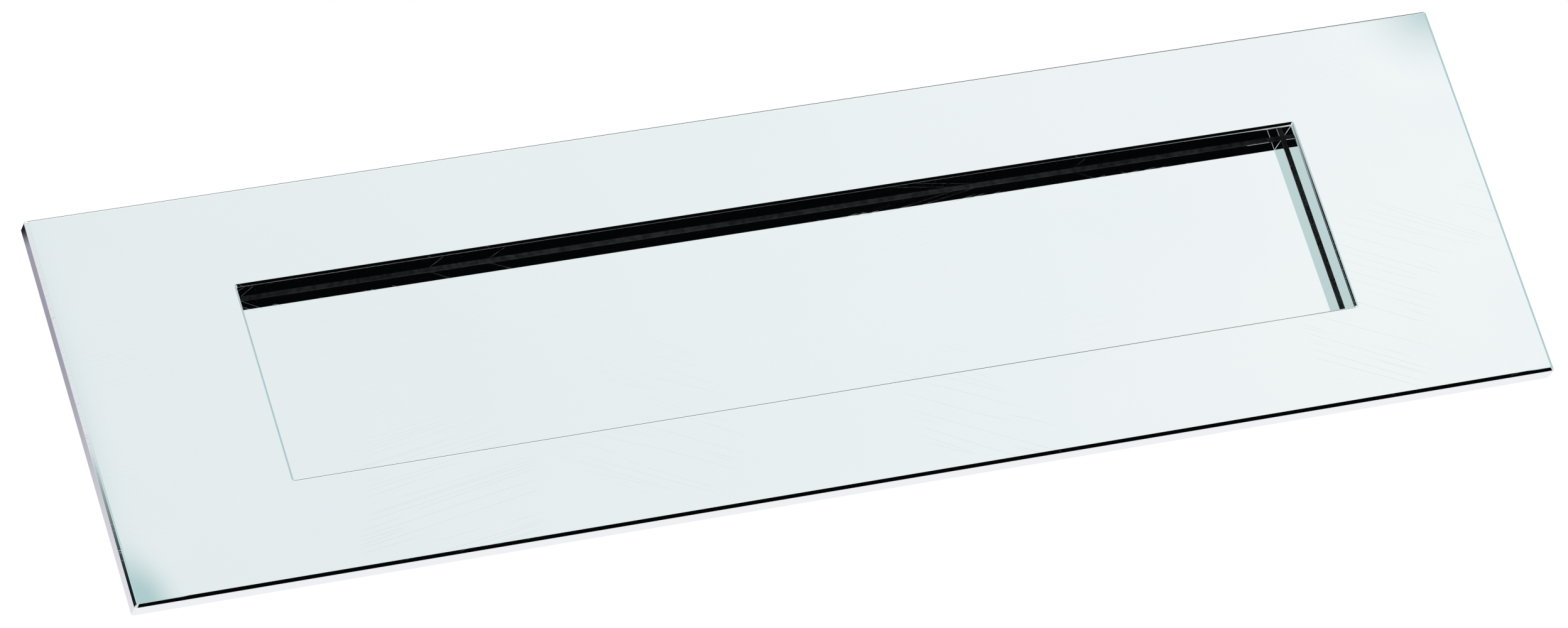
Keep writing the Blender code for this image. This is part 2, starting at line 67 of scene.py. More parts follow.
# Boxes of the CAD pieces. Those of paired pieces are taken on the right.
plate_low, plate_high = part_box("face_plate")
flap_low, flap_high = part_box("flap")
pin_low, pin_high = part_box("hinge_pin")
stud_low, stud_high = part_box("fixing_stud_right")
washer_low, washer_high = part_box("fixing_washer_right")
nut_low, nut_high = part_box("fixing_nut_right")
bracket_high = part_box("hinge_bracket_right")[1]
clip_low, clip_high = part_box("pin_clip_right")
spacer_low, spacer_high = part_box("hinge_washer_right")
buffer_low, buffer_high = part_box("flap_buffer_right")

SIDES = ((-1, "left"), (1, "right"))

FRONT_Y = plate_low.y
HALF_X = plate_high.x
HEIGHT = plate_high.z - plate_low.z
HALF_Z = HEIGHT / 2
MID_Z = (plate_high.z + plate_low.z) / 2
AXIS = (pin_low + pin_high) / 2
AXIS_Y, AXIS_Z = AXIS.y, AXIS.z
OPEN_X, OPEN_Z = mm(95.25, 17.5)  # half sizes of the opening
STUD_X = (stud_low.x + stud_high.x) / 2
PIN_HOLE = 1.8 * MM  # radius of the pin's hole in the flap and brackets

# Bracket screws: level, z, angle of the slot in degrees on the right side.
SCREW_X = 107.4 * MM
SCREWS = (("lower", 53.2 * MM, 20), ("upper", 59.4 * MM, 75))


# =============================================================================
# Shader node helpers
# =============================================================================


class NodeNet:
    """Short names for shader nodes, so that a finish reads as a few lines."""

    def __init__(self, tree):
        self.nodes = tree.nodes
        self.links = tree.links

    def put(self, kind, **settings):
        node = self.nodes.new(kind)
        for key, value in settings.items():
            setattr(node, key, value)
        return node

    def feed(self, socket, value):
        """Links a socket to another, or sets its value. A colour gets an alpha of 1."""
        if isinstance(value, bpy.types.NodeSocket):
            self.links.new(value, socket)
        elif isinstance(value, (tuple, list)) and len(value) == 3:
            length = len(socket.default_value)
            socket.default_value = (*value, 1.0)[:length]
        else:
            socket.default_value = value

    def math(self, operation, first, second=None, clamp=False):
        node = self.put("ShaderNodeMath", operation=operation, use_clamp=clamp)
        self.feed(node.inputs[0], first)
        if second is not None:
            self.feed(node.inputs[1], second)
        return node.outputs[0]

    def add(self, first, second):
        return self.math("ADD", first, second)

    def sub(self, first, second):
        return self.math("SUBTRACT", first, second)

    def mul(self, first, second):
        return self.math("MULTIPLY", first, second)

    def highest(self, first, second):
        return self.math("MAXIMUM", first, second)

    def smooth(self, value, span=(0.3, 0.7), to=(0.0, 1.0)):
        """Runs smoothly from to[0] to to[1] as the value crosses the span."""
        node = self.put("ShaderNodeMapRange", interpolation_type="SMOOTHSTEP")
        self.feed(node.inputs["Value"], value)
        node.inputs["From Min"].default_value = span[0]
        node.inputs["From Max"].default_value = span[1]
        node.inputs["To Min"].default_value = to[0]
        node.inputs["To Max"].default_value = to[1]
        return node.outputs["Result"]

    def fall(self, value, span):
        """Falls smoothly from 1 to 0 across the span."""
        return self.smooth(value, span, to=(1.0, 0.0))

    def window(self, value, span, soft):
        """1 within the span, falling to 0 over a soft edge outside it."""
        low, high = span
        return self.mul(
            self.smooth(value, (low - soft, low)),
            self.fall(value, (high, high + soft)),
        )

    def mix(self, factor, first, second):
        """Mixes two colours."""
        node = self.put("ShaderNodeMix", data_type="RGBA", blend_type="MIX")
        self.feed(node.inputs[0], factor)
        self.feed(node.inputs[6], first)
        self.feed(node.inputs[7], second)
        return node.outputs[2]

    def blend(self, factor, first, second):
        """Mixes two plain values."""
        node = self.put("ShaderNodeMix", data_type="FLOAT")
        self.feed(node.inputs[0], factor)
        self.feed(node.inputs[2], first)
        self.feed(node.inputs[3], second)
        return node.outputs[0]

    def split(self, vector):
        node = self.put("ShaderNodeSeparateXYZ")
        self.links.new(vector, node.inputs[0])
        return node.outputs

    def convert(self, vector, kind, source, target):
        """Takes a vector from one space to another."""
        node = self.put("ShaderNodeVectorTransform", vector_type=kind)
        node.convert_from, node.convert_to = source, target
        self.links.new(vector, node.inputs[0])
        return node.outputs[0]

    def add_vectors(self, first, second):
        node = self.put("ShaderNodeVectorMath", operation="ADD")
        self.links.new(first, node.inputs[0])
        self.links.new(second, node.inputs[1])
        return node.outputs[0]

    def place(self, vector, scale=(1, 1, 1), turn=(0, 0, 0), shift=(0, 0, 0)):
        node = self.put("ShaderNodeMapping")
        self.links.new(vector, node.inputs["Vector"])
        node.inputs["Scale"].default_value = scale
        node.inputs["Rotation"].default_value = turn
        node.inputs["Location"].default_value = shift
        return node.outputs["Vector"]

    def noise(self, vector, scale=1.0, detail=3.0, rough=0.5, distort=0.0):
        node = self.put("ShaderNodeTexNoise", noise_dimensions="3D")
        self.links.new(vector, node.inputs["Vector"])
        node.inputs["Scale"].default_value = scale
        node.inputs["Detail"].default_value = detail
        node.inputs["Roughness"].default_value = rough
        node.inputs["Distortion"].default_value = distort
        return node.outputs["Fac"]

    def cells(self, vector, scale):
        node = self.put("ShaderNodeTexVoronoi", feature="F1")
        self.links.new(vector, node.inputs["Vector"])
        node.inputs["Scale"].default_value = scale
        return node.outputs["Distance"]

    def bump(self, height, distance, normal=None):
        node = self.put("ShaderNodeBump")
        self.feed(node.inputs["Height"], height)
        node.inputs["Distance"].default_value = distance
        node.inputs["Strength"].default_value = 1.0
        if normal is not None:
            self.links.new(normal, node.inputs["Normal"])
        return node.outputs["Normal"]

    def scratches(self, vector, degrees, spacing, length, seed):
        """Sparse thin lines along one direction in the X-Z plane: 1 on a line, 0 elsewhere."""
        turned_to = self.place(
            vector,
            turn=(0, math.radians(degrees), 0),
            shift=(seed, seed * 0.37, seed * 1.9),
        )
        lane = self.place(turned_to, scale=(1 / length, 1, 1 / spacing))
        fine = self.noise(lane, detail=0.0)
        line = self.fall(self.math("ABSOLUTE", self.sub(fine, 0.5)), span=(0.0, 0.004))
        patch = self.noise(turned_to, scale=1 / (length * 0.9), detail=1.0)
        return self.mul(line, self.smooth(patch, span=(0.52, 0.62)))


class Finish(NodeNet):
    """A new material with its node net, shader and object-space coordinates."""

    def __init__(self, name):
        self.material = bpy.data.materials.new(name)
        self.material.use_nodes = True
        super().__init__(self.material.node_tree)
        self.shader = self.nodes["Principled BSDF"]
        self.coords = self.put("ShaderNodeTexCoord").outputs["Object"]

    def surface(self, colour, roughness, normal=None, metallic=0.0):
        """Feeds the shader and gives back the finished material."""
        self.feed(self.shader.inputs["Base Color"], colour)
        self.feed(self.shader.inputs["Roughness"], roughness)
        self.shader.inputs["Metallic"].default_value = metallic
        if normal is not None:
            self.links.new(normal, self.shader.inputs["Normal"])
        return self.material


# =============================================================================
# Materials
# =============================================================================

# Where the plate's face rolls off a little: x, z, reach in x, reach in z, lean of the normal
# along X. The lower left and upper right corners roll off most.
FACE_CORNERS = (
    (-HALF_X, plate_low.z, *mm(13, 14), -0.078),
    (-HALF_X, MID_Z, *mm(8, 90), -0.024),
    (HALF_X, plate_high.z, *mm(26, 20), 0.085),
    (HALF_X, plate_low.z, *mm(8, 8), 0.03),
)
OPENING = (OPEN_X, OPEN_Z)


def outside(net, away, halves, margins):
    """Rises to 1 across the margins past either side of a rectangle."""
    return net.highest(
        *(
            net.smooth(distance, span=(half + margins[0], half + margins[1]))
            for distance, half in zip(away, halves)
        )
    )


def inside(net, away, halves, margins):
    """Falls to 0 across the margins past any side of a rectangle."""
    return net.mul(
        *(
            net.fall(distance, span=(half + margins[0], half + margins[1]))
            for distance, half in zip(away, halves)
        )
    )


def roll_corners(net, surface, x, z, facing_y):
    """Leans the normal of the front face outward near the corners."""
    front = net.fall(facing_y, span=(-0.999, -0.99))
    lean = None
    for corner_x, corner_z, reach_x, reach_z, lean_x in FACE_CORNERS:
        away = net.math(
            "SQRT",
            net.add(
                net.math("POWER", net.mul(net.sub(x, corner_x), 1 / reach_x), 2.0),
                net.math("POWER", net.mul(net.sub(z, corner_z), 1 / reach_z), 2.0),
            ),
        )
        # The lean fades with this power of the distance.
        fade = net.math("POWER", net.math("SUBTRACT", 1.0, away, clamp=True), 1.6)
        scaled = net.put("ShaderNodeVectorMath", operation="SCALE")
        scaled.inputs[0].default_value = (lean_x, 0.0, 0.0)
        net.feed(scaled.inputs["Scale"], net.mul(fade, front))
        lean = scaled.outputs[0] if lean is None else net.add_vectors(lean, scaled.outputs[0])
    lean = net.convert(lean, "VECTOR", "OBJECT", "WORLD")
    unit = net.put("ShaderNodeVectorMath", operation="NORMALIZE")
    net.links.new(net.add_vectors(surface, lean), unit.inputs[0])
    return unit.outputs[0]


def chrome(name, plate=False):
    """Buffed chrome: a mirror at the front and sides, a dull cast face at the back.

    The plate also has a cast hollow, painted shade (near-black) on the back of the opening's rim
    in the seam behind the flap, and rolled corners.
    """
    net = Finish(name)
    coords = net.coords
    geometry = net.put("ShaderNodeNewGeometry")
    facing = net.convert(geometry.outputs["True Normal"], "NORMAL", "WORLD", "OBJECT")
    facing_y = net.split(facing)[1]
    rear = net.smooth(facing_y, span=(0.80, 0.95))
    if plate:
        x, y, z = net.split(coords)
        away = (net.math("ABSOLUTE", x), net.math("ABSOLUTE", net.sub(z, MID_Z)))
        # The walls and bosses inside the hollow back are as cast too.
        past_rim = outside(net, away, OPENING, margins=mm(1.8, 2.2))
        within = inside(net, away, (HALF_X, HALF_Z), margins=mm(-3, -2))
        deep = net.smooth(y, span=mm(-1.9, -1.5))
        rear = net.highest(rear, net.mul(net.mul(past_rim, within), deep))

    haze = net.noise(coords, scale=18.0, detail=4.0)
    wipe = net.noise(net.place(coords, scale=(9, 30, 60)), distort=0.4)
    lines = net.highest(
        net.scratches(coords, degrees=9.0, spacing=0.0011, length=0.060, seed=0.31),
        net.scratches(coords, degrees=-27.0, spacing=0.0016, length=0.035, seed=0.83),
    )
    line_roughness = 0.05
    polished = net.add(
        net.smooth(haze, span=(0.35, 0.75), to=(0.012, 0.028)),
        net.add(
            net.smooth(wipe, span=(0.5, 0.8), to=(0.0, 0.014)),
            net.mul(lines, line_roughness),
        ),
    )
    grit = net.noise(coords, scale=900.0, detail=2.0)
    cast = net.smooth(grit, to=(0.30, 0.44))
    rough = net.blend(rear, polished, cast)

    tint = net.mix(net.smooth(haze), (0.885, 0.905, 0.908), (0.905, 0.918, 0.916))
    dull = net.mix(
        net.smooth(net.noise(coords, scale=60.0, detail=4.0), span=(0.35, 0.65)),
        (0.60, 0.61, 0.60),
        (0.72, 0.73, 0.72),
    )
    metal = net.mix(rear, tint, dull)
    if plate:
        # Painted shade: the back of the rim, in the deep seam between rim and flap, is coloured
        # near-black and made dull.
        near = inside(net, away, OPENING, margins=mm(2.5, 2.6))
        beyond = outside(net, away, OPENING, margins=mm(0.02, 0.12))
        seam_shade_mask = net.mul(net.mul(near, beyond), net.smooth(y, span=mm(0.62, 0.74)))
        seam_shade_roughness = 0.5
        painted_seam_shade = net.mix(net.smooth(grit), (0.11, 0.112, 0.115), (0.18, 0.18, 0.18))
        metal = net.mix(seam_shade_mask, metal, painted_seam_shade)
        rough = net.blend(seam_shade_mask, rough, seam_shade_roughness)

    # Long shallow waves left by the wheel, then hairlines, then the cast skin of the back.
    wave = net.noise(net.place(coords, scale=(16, 16, 22)), detail=1.0)
    surface = net.bump(wave, distance=0.00006)
    surface = net.bump(net.mul(lines, -1.0), distance=0.0000006, normal=surface)
    fine_share, coarse_share = 0.8, 0.7
    skin = net.add(
        net.mul(grit, fine_share),
        net.mul(net.noise(coords, scale=260.0), coarse_share),
    )
    surface = net.bump(net.mul(skin, rear), distance=0.00011, normal=surface)
    if plate:
        surface = roll_corners(net, surface, x, z, facing_y)
    return net.surface(metal, rough, surface, metallic=1.0)


def satin_nickel(name):
    """Dull plated steel, with roll lines along Z and a faint warm cloudiness."""
    net = Finish(name)
    roll = net.noise(net.place(net.coords, scale=(1400, 1400, 60)), detail=2.0)
    cloud = net.noise(net.coords, scale=240.0)
    dents = net.smooth(net.cells(net.coords, scale=1500.0), span=(0.0, 0.35))
    return net.surface(
        colour=net.mix(
            net.smooth(cloud, span=(0.35, 0.65)), (0.56, 0.555, 0.53), (0.68, 0.68, 0.665)
        ),
        roughness=net.add(
            net.smooth(roll, to=(0.22, 0.34)),
            net.smooth(cloud, span=(0.5, 0.7), to=(0.0, 0.08)),
        ),
        normal=net.bump(dents, distance=0.00003, normal=net.bump(roll, distance=0.00002)),
        metallic=1.0,
    )


def bright_zinc(name):
    """Zinc plate with a passivated skin: patches of pale blue and straw, and white bloom."""
    net = Finish(name)
    blue, grey, straw = (0.60, 0.65, 0.72), (0.74, 0.75, 0.74), (0.76, 0.73, 0.62)
    patch = net.noise(net.coords, scale=330.0, detail=2.0, distort=0.8)
    film = net.mix(net.smooth(patch, span=(0.38, 0.52)), blue, grey)
    film = net.mix(net.smooth(patch, span=(0.55, 0.68)), film, straw)
    bloom = net.smooth(net.noise(net.coords, scale=1100.0), span=(0.60, 0.72))
    bloom_cover, bloom_roughness = 0.4, 0.18
    return net.surface(
        colour=net.mix(net.mul(bloom, bloom_cover), film, (0.80, 0.80, 0.79)),
        roughness=net.add(
            net.smooth(patch, to=(0.20, 0.30)), net.mul(bloom, bloom_roughness)
        ),
        normal=net.bump(net.noise(net.coords, scale=1800.0), distance=0.00002),
        metallic=1.0,
    )


# Scales of the line texture: drawn out along X, or the same every way.
ALONG_X = (40, 2600, 2600)
EVERY_WAY = (1500, 1500, 1500)


def drawn_steel(name, colour, stained, rough, line_scale):
    """Drawn rod, wire or strip with a fine grain and a few darker stains."""
    net = Finish(name)
    lines = net.noise(net.place(net.coords, scale=line_scale), detail=2.0)
    stain = net.noise(net.coords, scale=130.0, detail=4.0)
    return net.surface(
        colour=net.mix(net.smooth(stain, span=(0.45, 0.75)), colour, stained),
        roughness=net.add(
            net.smooth(lines, to=(rough * 0.8, rough * 1.3)),
            net.smooth(stain, span=(0.5, 0.8), to=(0.0, 0.1)),
        ),
        normal=net.bump(lines, distance=0.00001),
        metallic=1.0,
    )


def moulded_nylon(name):
    net = Finish(name)
    flow = net.noise(net.coords, scale=420.0, detail=2.0, distort=0.5)
    net.shader.inputs["Subsurface Weight"].default_value = 0.25
    net.shader.inputs["Subsurface Radius"].default_value = (1.0, 0.9, 0.7)
    net.shader.inputs["Subsurface Scale"].default_value = 0.0008
    return net.surface(
        colour=net.mix(
            net.smooth(flow, span=(0.35, 0.7)), (0.80, 0.785, 0.72), (0.87, 0.86, 0.81)
        ),
        roughness=net.smooth(flow, to=(0.38, 0.52)),
        normal=net.bump(net.noise(net.coords, scale=2400.0, detail=2.0), distance=0.00002),
    )


def soft_rubber(name):
    """Black rubber with grey dust."""
    net = Finish(name)
    dust = net.noise(net.coords, scale=700.0, detail=5.0, rough=0.65)
    return net.surface(
        colour=net.mix(
            net.smooth(dust, span=(0.48, 0.72)), (0.016, 0.016, 0.017), (0.055, 0.053, 0.050)
        ),
        roughness=net.smooth(dust, to=(0.55, 0.82)),
        normal=net.bump(dust, distance=0.00006),
    )


MAT_PLATE = chrome("chrome_plate", plate=True)
MAT_FLAP = chrome("chrome_flap")
MAT_BRACKET = satin_nickel("nickel_bracket")
MAT_ZINC = bright_zinc("zinc_bright")
MAT_PIN = drawn_steel(
    "stainless_rod",
    colour=(0.66, 0.665, 0.67),
    stained=(0.50, 0.49, 0.47),
    rough=0.17,
    line_scale=ALONG_X,
)
MAT_SPRING = drawn_steel(
    "spring_wire",
    colour=(0.52, 0.53, 0.55),
    stained=(0.30, 0.29, 0.28),
    rough=0.22,
    line_scale=EVERY_WAY,
)
MAT_CLIP = drawn_steel(
    "clip_steel",
    colour=(0.30, 0.29, 0.28),
    stained=(0.16, 0.15, 0.15),
    rough=0.32,
    line_scale=EVERY_WAY,
)
MAT_NYLON = moulded_nylon("nylon_natural")
MAT_RUBBER = soft_rubber("rubber_black")


# =============================================================================
# Mesh helpers
# =============================================================================


def evaluated_mesh(obj):
    """Replaces an object's mesh by what its modifiers make of it, and drops the modifiers."""
    graph = bpy.context.evaluated_depsgraph_get()
    graph.update()
    mesh = bpy.data.meshes.new_from_object(
        obj.evaluated_get(graph), preserve_all_data_layers=True, depsgraph=graph
    )
    for modifier in list(obj.modifiers):
        obj.modifiers.remove(modifier)
    old, obj.data = obj.data, mesh
    mesh.name = obj.name
    bpy.data.meshes.remove(old)


def raw(name, shape):
    """Makes an object from a bmesh, which is used up."""
    bmesh.ops.recalc_face_normals(shape, faces=shape.faces)
    mesh = bpy.data.meshes.new(name)
    shape.to_mesh(mesh)
    shape.free()
    obj = bpy.data.objects.new(name, mesh)
    scene.collection.objects.link(obj)
    return obj


def combine(obj, tool_shape, operation):
    """One exact Boolean, applied at once. The tool is used up."""
    tool = raw(obj.name + "_tool", tool_shape)
    boolean = obj.modifiers.new("cut", "BOOLEAN")
    boolean.operation, boolean.solver, boolean.object = operation, "EXACT", tool
    evaluated_mesh(obj)
    bpy.data.objects.remove(tool, do_unlink=True)


def finish_piece(obj, node, mat, body="plate", sharp=32.0, soften=0.0, segments=2):
    """Rounds the edges a little, shades the piece, and puts it on its body for its CAD node."""
    if soften:
        bevel = obj.modifiers.new("soften", "BEVEL")
        bevel.width, bevel.segments = soften, segments
        bevel.limit_method, bevel.angle_limit = "ANGLE", math.radians(38)
        bevel.use_clamp_overlap = True
        evaluated_mesh(obj)
    obj.data.materials.clear()
    obj.data.materials.append(mat)
    obj.data.shade_smooth()
    obj.data.set_sharp_from_angle(angle=math.radians(sharp))
    weighted = obj.modifiers.new("weighted", "WEIGHTED_NORMAL")
    weighted.keep_sharp = True
    weighted.weight = 90
    weighted.mode = "FACE_AREA"
    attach(obj, body)
    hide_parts(node)


def arc(centre, radius, start, end, steps):
    """Points in a plane on an arc from one angle to another, in degrees."""
    for step in range(steps + 1):
        angle = math.radians(start + (end - start) * step / steps)
        yield centre[0] + radius * math.cos(angle), centre[1] + radius * math.sin(angle)


def rounded_rectangle(half_x, half_z, radius, y, segments=6):
    radius = max(radius, 0.02 * MM)
    points = []
    for quarter in range(4):
        sign_x = 1 if quarter in (0, 3) else -1
        sign_z = 1 if quarter in (0, 1) else -1
        centre = Vector((sign_x * (half_x - radius), y, MID_Z + sign_z * (half_z - radius)))
        for step in range(segments + 1):
            angle = math.radians(90 * quarter + 90 * step / segments)
            points.append(centre + radius * Vector((math.cos(angle), 0, math.sin(angle))))
    return points


def rounded_edge(radius, steps):
    """(distance in from the edge, depth from the face) round a quarter circle, side to face."""
    for step in range(steps + 1):
        angle = math.radians(90 * step / steps)
        yield radius * (1 - math.cos(angle)), radius * (1 - math.sin(angle))


def join_rings(shape, row, after):
    """Faces between two rings of vertices."""
    count = len(row)
    for i in range(count):
        j = (i + 1) % count
        shape.faces.new((row[i], row[j], after[j], after[i]))


def ring_of_loops(loops):
    """A closed ring through a series of loops, the last joined to the first."""
    shape = bmesh.new()
    rows = [[shape.verts.new(point) for point in loop] for loop in loops]
    for row, after in zip(rows, rows[1:] + rows[:1]):
        join_rings(shape, row, after)
    return shape


def turned(profile, origin, along, segments, phase=0.0, shape=None):
    """A turned body. The profile is [(distance along the axis, radius)].

    It is closed on itself if it starts off the axis. Given a shape, the body is added to it.
    """
    shape = shape or bmesh.new()
    along = Vector(along).normalized()
    side = along.orthogonal().normalized()
    across = along.cross(side)
    origin = Vector(origin)
    rows = []
    for distance, radius in profile:
        if radius < 1e-9:
            rows.append([shape.verts.new(origin + along * distance)])
            continue
        row = []
        for i in range(segments):
            angle = phase + 2 * math.pi * i / segments
            spoke = math.cos(angle) * side + math.sin(angle) * across
            row.append(shape.verts.new(origin + along * distance + radius * spoke))
        rows.append(row)
    hollow = len(rows[0]) > 1
    pairs = list(zip(rows, rows[1:])) + ([(rows[-1], rows[0])] if hollow else [])
    for row, after in pairs:
        if len(row) > 1 and len(after) > 1:
            join_rings(shape, row, after)
            continue
        for i in range(segments):
            j = (i + 1) % segments
            if len(row) == 1:
                shape.faces.new((row[0], after[j], after[i]))
            else:
                shape.faces.new((row[i], row[j], after[0]))
    return shape


def cylinder(radius, length, origin, along, segments, shape=None):
    profile = [(0, 0), (0, radius), (length, radius), (length, 0)]
    return turned(profile, origin, along, segments, shape=shape)


def rounded_profile(points, steps=4):
    """A turned profile with rounded corners: points are (distance, radius, corner radius)."""
    made = []
    last = len(points) - 1
    for i, (distance, radius, fillet) in enumerate(points):
        if not fillet or i in (0, last):
            made.append((distance, radius))
            continue
        here = Vector((distance, radius))
        before, after = Vector(points[i - 1][:2]) - here, Vector(points[i + 1][:2]) - here
        to_before, to_after = before.normalized(), after.normalized()
        angle = to_before.angle(to_after)
        # The fillet shrinks where a neighbouring side is too short for it.
        back = min(fillet / math.tan(angle / 2), before.length * 0.48, after.length * 0.48)
        fitted = back * math.tan(angle / 2)
        centre = here + (to_before + to_after).normalized() * (fitted / math.sin(angle / 2))
        start, end = here + to_before * back - centre, here + to_after * back - centre
        first = math.atan2(start.y, start.x)
        sweep = math.atan2(start.x * end.y - start.y * end.x, start.dot(end))
        for step in range(steps + 1):
            turn = first + sweep * step / steps
            made.append(
                (centre.x + fitted * math.cos(turn), centre.y + fitted * math.sin(turn))
            )
    return made


def prism(outline, vector):
    shape = bmesh.new()
    face = shape.faces.new([shape.verts.new(point) for point in outline])
    made = bmesh.ops.extrude_face_region(shape, geom=[face], use_keep_orig=True)
    moved = [item for item in made["geom"] if isinstance(item, bmesh.types.BMVert)]
    bmesh.ops.translate(shape, verts=moved, vec=Vector(vector))
    return shape


def block(low, high):
    outline = [
        (low[0], low[1], low[2]),
        (high[0], low[1], low[2]),
        (high[0], low[1], high[2]),
        (low[0], low[1], high[2]),
    ]
    return prism(outline, (0, high[1] - low[1], 0))


def soft_block(side, spans, soften, segments=3):
    """A block with rounded edges, from its x, y and z spans on the right side."""
    x_low, x_high = sorted(side * x for x in spans[0])
    (y_low, y_high), (z_low, z_high) = spans[1:]
    shape = block((x_low, y_low, z_low), (x_high, y_high, z_high))
    bmesh.ops.recalc_face_normals(shape, faces=shape.faces)
    bmesh.ops.bevel(
        shape,
        geom=list(shape.edges),
        offset=soften,
        offset_type="OFFSET",
        segments=segments,
        profile=0.5,
        affect="EDGES",
    )
    return shape


# =============================================================================
# Face plate
# =============================================================================

PLATE_CORNER = 0.4 * MM
BACK_CHAMFER = 0.12 * MM
ARRIS = 0.64 * MM  # rounding of the outer front edge
OPEN_ARRIS = 0.55 * MM  # rounding of the opening's front edge
OPEN_CORNER = 0.06 * MM
RIM = 2.4 * MM  # width of the rim behind the opening
RIM_BACK = 0.8 * MM
HOLLOW_Y = -1.2 * MM  # floor of the hollow back
HOLLOW_X, HOLLOW_Z = mm(112.5, 28.0)  # half sizes of the hollow

# The rim's section, from the opening to the hollow: distance out from the opening,
# corner radius, y.
RIM_LOOPS = (
    (0, OPEN_CORNER, RIM_BACK - 0.04 * MM),
    (0.04 * MM, OPEN_CORNER + 0.04 * MM, RIM_BACK),
    (RIM - 0.2 * MM, 2.8 * MM, RIM_BACK),
    (RIM, 3.0 * MM, RIM_BACK - 0.2 * MM),
    (RIM, 3.0 * MM, HOLLOW_Y + 0.4 * MM),
    (RIM + 0.12 * MM, 3.1 * MM, HOLLOW_Y + 0.12 * MM),
    (RIM + 0.4 * MM, 3.4 * MM, HOLLOW_Y),
)
# The hollow's outer wall, from its floor to the back edge: distance out from the wall,
# corner radius, y.
WALL_LOOPS = (
    (-0.4 * MM, 2.1 * MM, HOLLOW_Y),
    (-0.12 * MM, 2.4 * MM, HOLLOW_Y + 0.12 * MM),
    (0, 2.5 * MM, HOLLOW_Y + 0.4 * MM),
    (0, 2.5 * MM, -0.15 * MM),
    (0.15 * MM, 2.65 * MM, 0.0),
)

# The boss round each stud: distance back, radius, corner radius.
BOSS_Y = -2.0 * MM
BOSS = [
    mm(0, 0, 0),
    mm(0, 5.6, 0),
    mm(0.8, 5.6, 0),
    mm(0.8, 4.5, 0.9),
    mm(7.0, 4.35, 0.55),
    mm(7.0, 0, 0),
]
# The stepped hole in the boss: distance back, radius.
BOSS_HOLE_Y = -1.2 * MM
BOSS_HOLE = [
    mm(0, 0),
    mm(0, 2.3),
    mm(0.5, 2.8),
    mm(5.7, 2.8),
    mm(6.3, 3.4),
    mm(7.5, 3.4),
    mm(7.5, 0),
]
# Blocks in the hollow, as x, y and z spans on the right.
BRACKET_PAD = (mm(103.0, 111.5), mm(-2.2, -0.6), mm(49.8, 62.6))
SPRING_LUG = (mm(59.6, 62.0), mm(-2.2, 0.9), mm(58.4, 60.2))


def plate_mesh():
    """The plate's ring: outer side, front face, opening, rim, and hollow back."""
    loops = [
        rounded_rectangle(HALF_X - BACK_CHAMFER, HALF_Z - BACK_CHAMFER, PLATE_CORNER, 0.0),
        rounded_rectangle(HALF_X, HALF_Z, PLATE_CORNER, -BACK_CHAMFER),
    ]
    for inset, depth in rounded_edge(ARRIS, 10):
        radius = PLATE_CORNER - 0.35 * inset
        loops.append(
            rounded_rectangle(HALF_X - inset, HALF_Z - inset, radius, FRONT_Y + depth)
        )
    for inset, depth in reversed(list(rounded_edge(OPEN_ARRIS, 8))):
        radius = OPEN_CORNER + inset
        loops.append(
            rounded_rectangle(OPEN_X + inset, OPEN_Z + inset, radius, FRONT_Y + depth)
        )
    for half_x, half_z, table in (
        (OPEN_X, OPEN_Z, RIM_LOOPS),
        (HOLLOW_X, HOLLOW_Z, WALL_LOOPS),
    ):
        for grow, radius, y in table:
            loops.append(rounded_rectangle(half_x + grow, half_z + grow, radius, y))
    return ring_of_loops(loops)


def build_plate():
    plate = raw("plate_chrome_surround", plate_mesh())
    back = (0, 1, 0)
    for side, _ in SIDES:
        stud_x = side * STUD_X
        boss = turned(rounded_profile(BOSS, 5), (stud_x, BOSS_Y, MID_Z), back, 56)
        combine(plate, boss, "UNION")
        combine(plate, soft_block(side, BRACKET_PAD, 0.25 * MM), "UNION")
        combine(plate, soft_block(side, SPRING_LUG, 0.3 * MM), "UNION")
        hole = turned(BOSS_HOLE, (stud_x, BOSS_HOLE_Y, MID_Z), back, 56)
        combine(plate, hole, "DIFFERENCE")
        for _, z, _ in SCREWS:
            hole = cylinder(1.3 * MM, 4 * MM, (side * SCREW_X, -2.4 * MM, z), back, 24)
            combine(plate, hole, "DIFFERENCE")
    finish_piece(plate, "face_plate", MAT_PLATE, sharp=40)


build_plate()


# =============================================================================
# Flap
# =============================================================================

FLAP_HALF = flap_high.x
FLAP_FRONT = flap_low.y
FLAP_REAR = FLAP_FRONT + 2.2 * MM
FLAP_BOTTOM = flap_low.z
FLAP_EDGE = 0.45 * MM  # rounding along the lower edge
FLAP_CORNER = 2.0 * MM  # rounding of the lower corners
BARREL = 3.0 * MM
# The gap in the barrel on each side, as x, y and z spans on the right.
BARREL_GAP = (mm(7.0, 84.0), mm(-1, 12), mm(55.0, 70))


def flap_outline():
    """The flap's section at its left end: front face, barrel, rear face, lower edge."""
    edge_z = FLAP_BOTTOM + FLAP_EDGE
    meets_rear = -math.degrees(math.acos((FLAP_REAR - AXIS_Y) / BARREL))
    section = [
        *arc((FLAP_FRONT + FLAP_EDGE, edge_z), FLAP_EDGE, 270, 180, 6),
        (FLAP_FRONT, AXIS_Z - 1.5 * MM),
        *arc((AXIS_Y, AXIS_Z), BARREL, 180, meets_rear, 40),
        *arc((FLAP_REAR - FLAP_EDGE, edge_z), FLAP_EDGE, 0, -90, 6),
    ]
    return [(-FLAP_HALF, y, z) for y, z in section]


def corner_bite(side):
    """What is cut away to round a lower corner of the flap."""
    margin = 1 * MM
    y = -margin
    centre_x, centre_z = FLAP_HALF - FLAP_CORNER, FLAP_BOTTOM + FLAP_CORNER
    outline = [
        (FLAP_HALF + margin, FLAP_BOTTOM - margin),
        (FLAP_HALF + margin, centre_z),
        *arc((centre_x, centre_z), FLAP_CORNER, 0, -90, 12),
        (centre_x, FLAP_BOTTOM - margin),
    ]
    return prism([(side * x, y, z) for x, z in outline], (0, 12 * MM, 0))


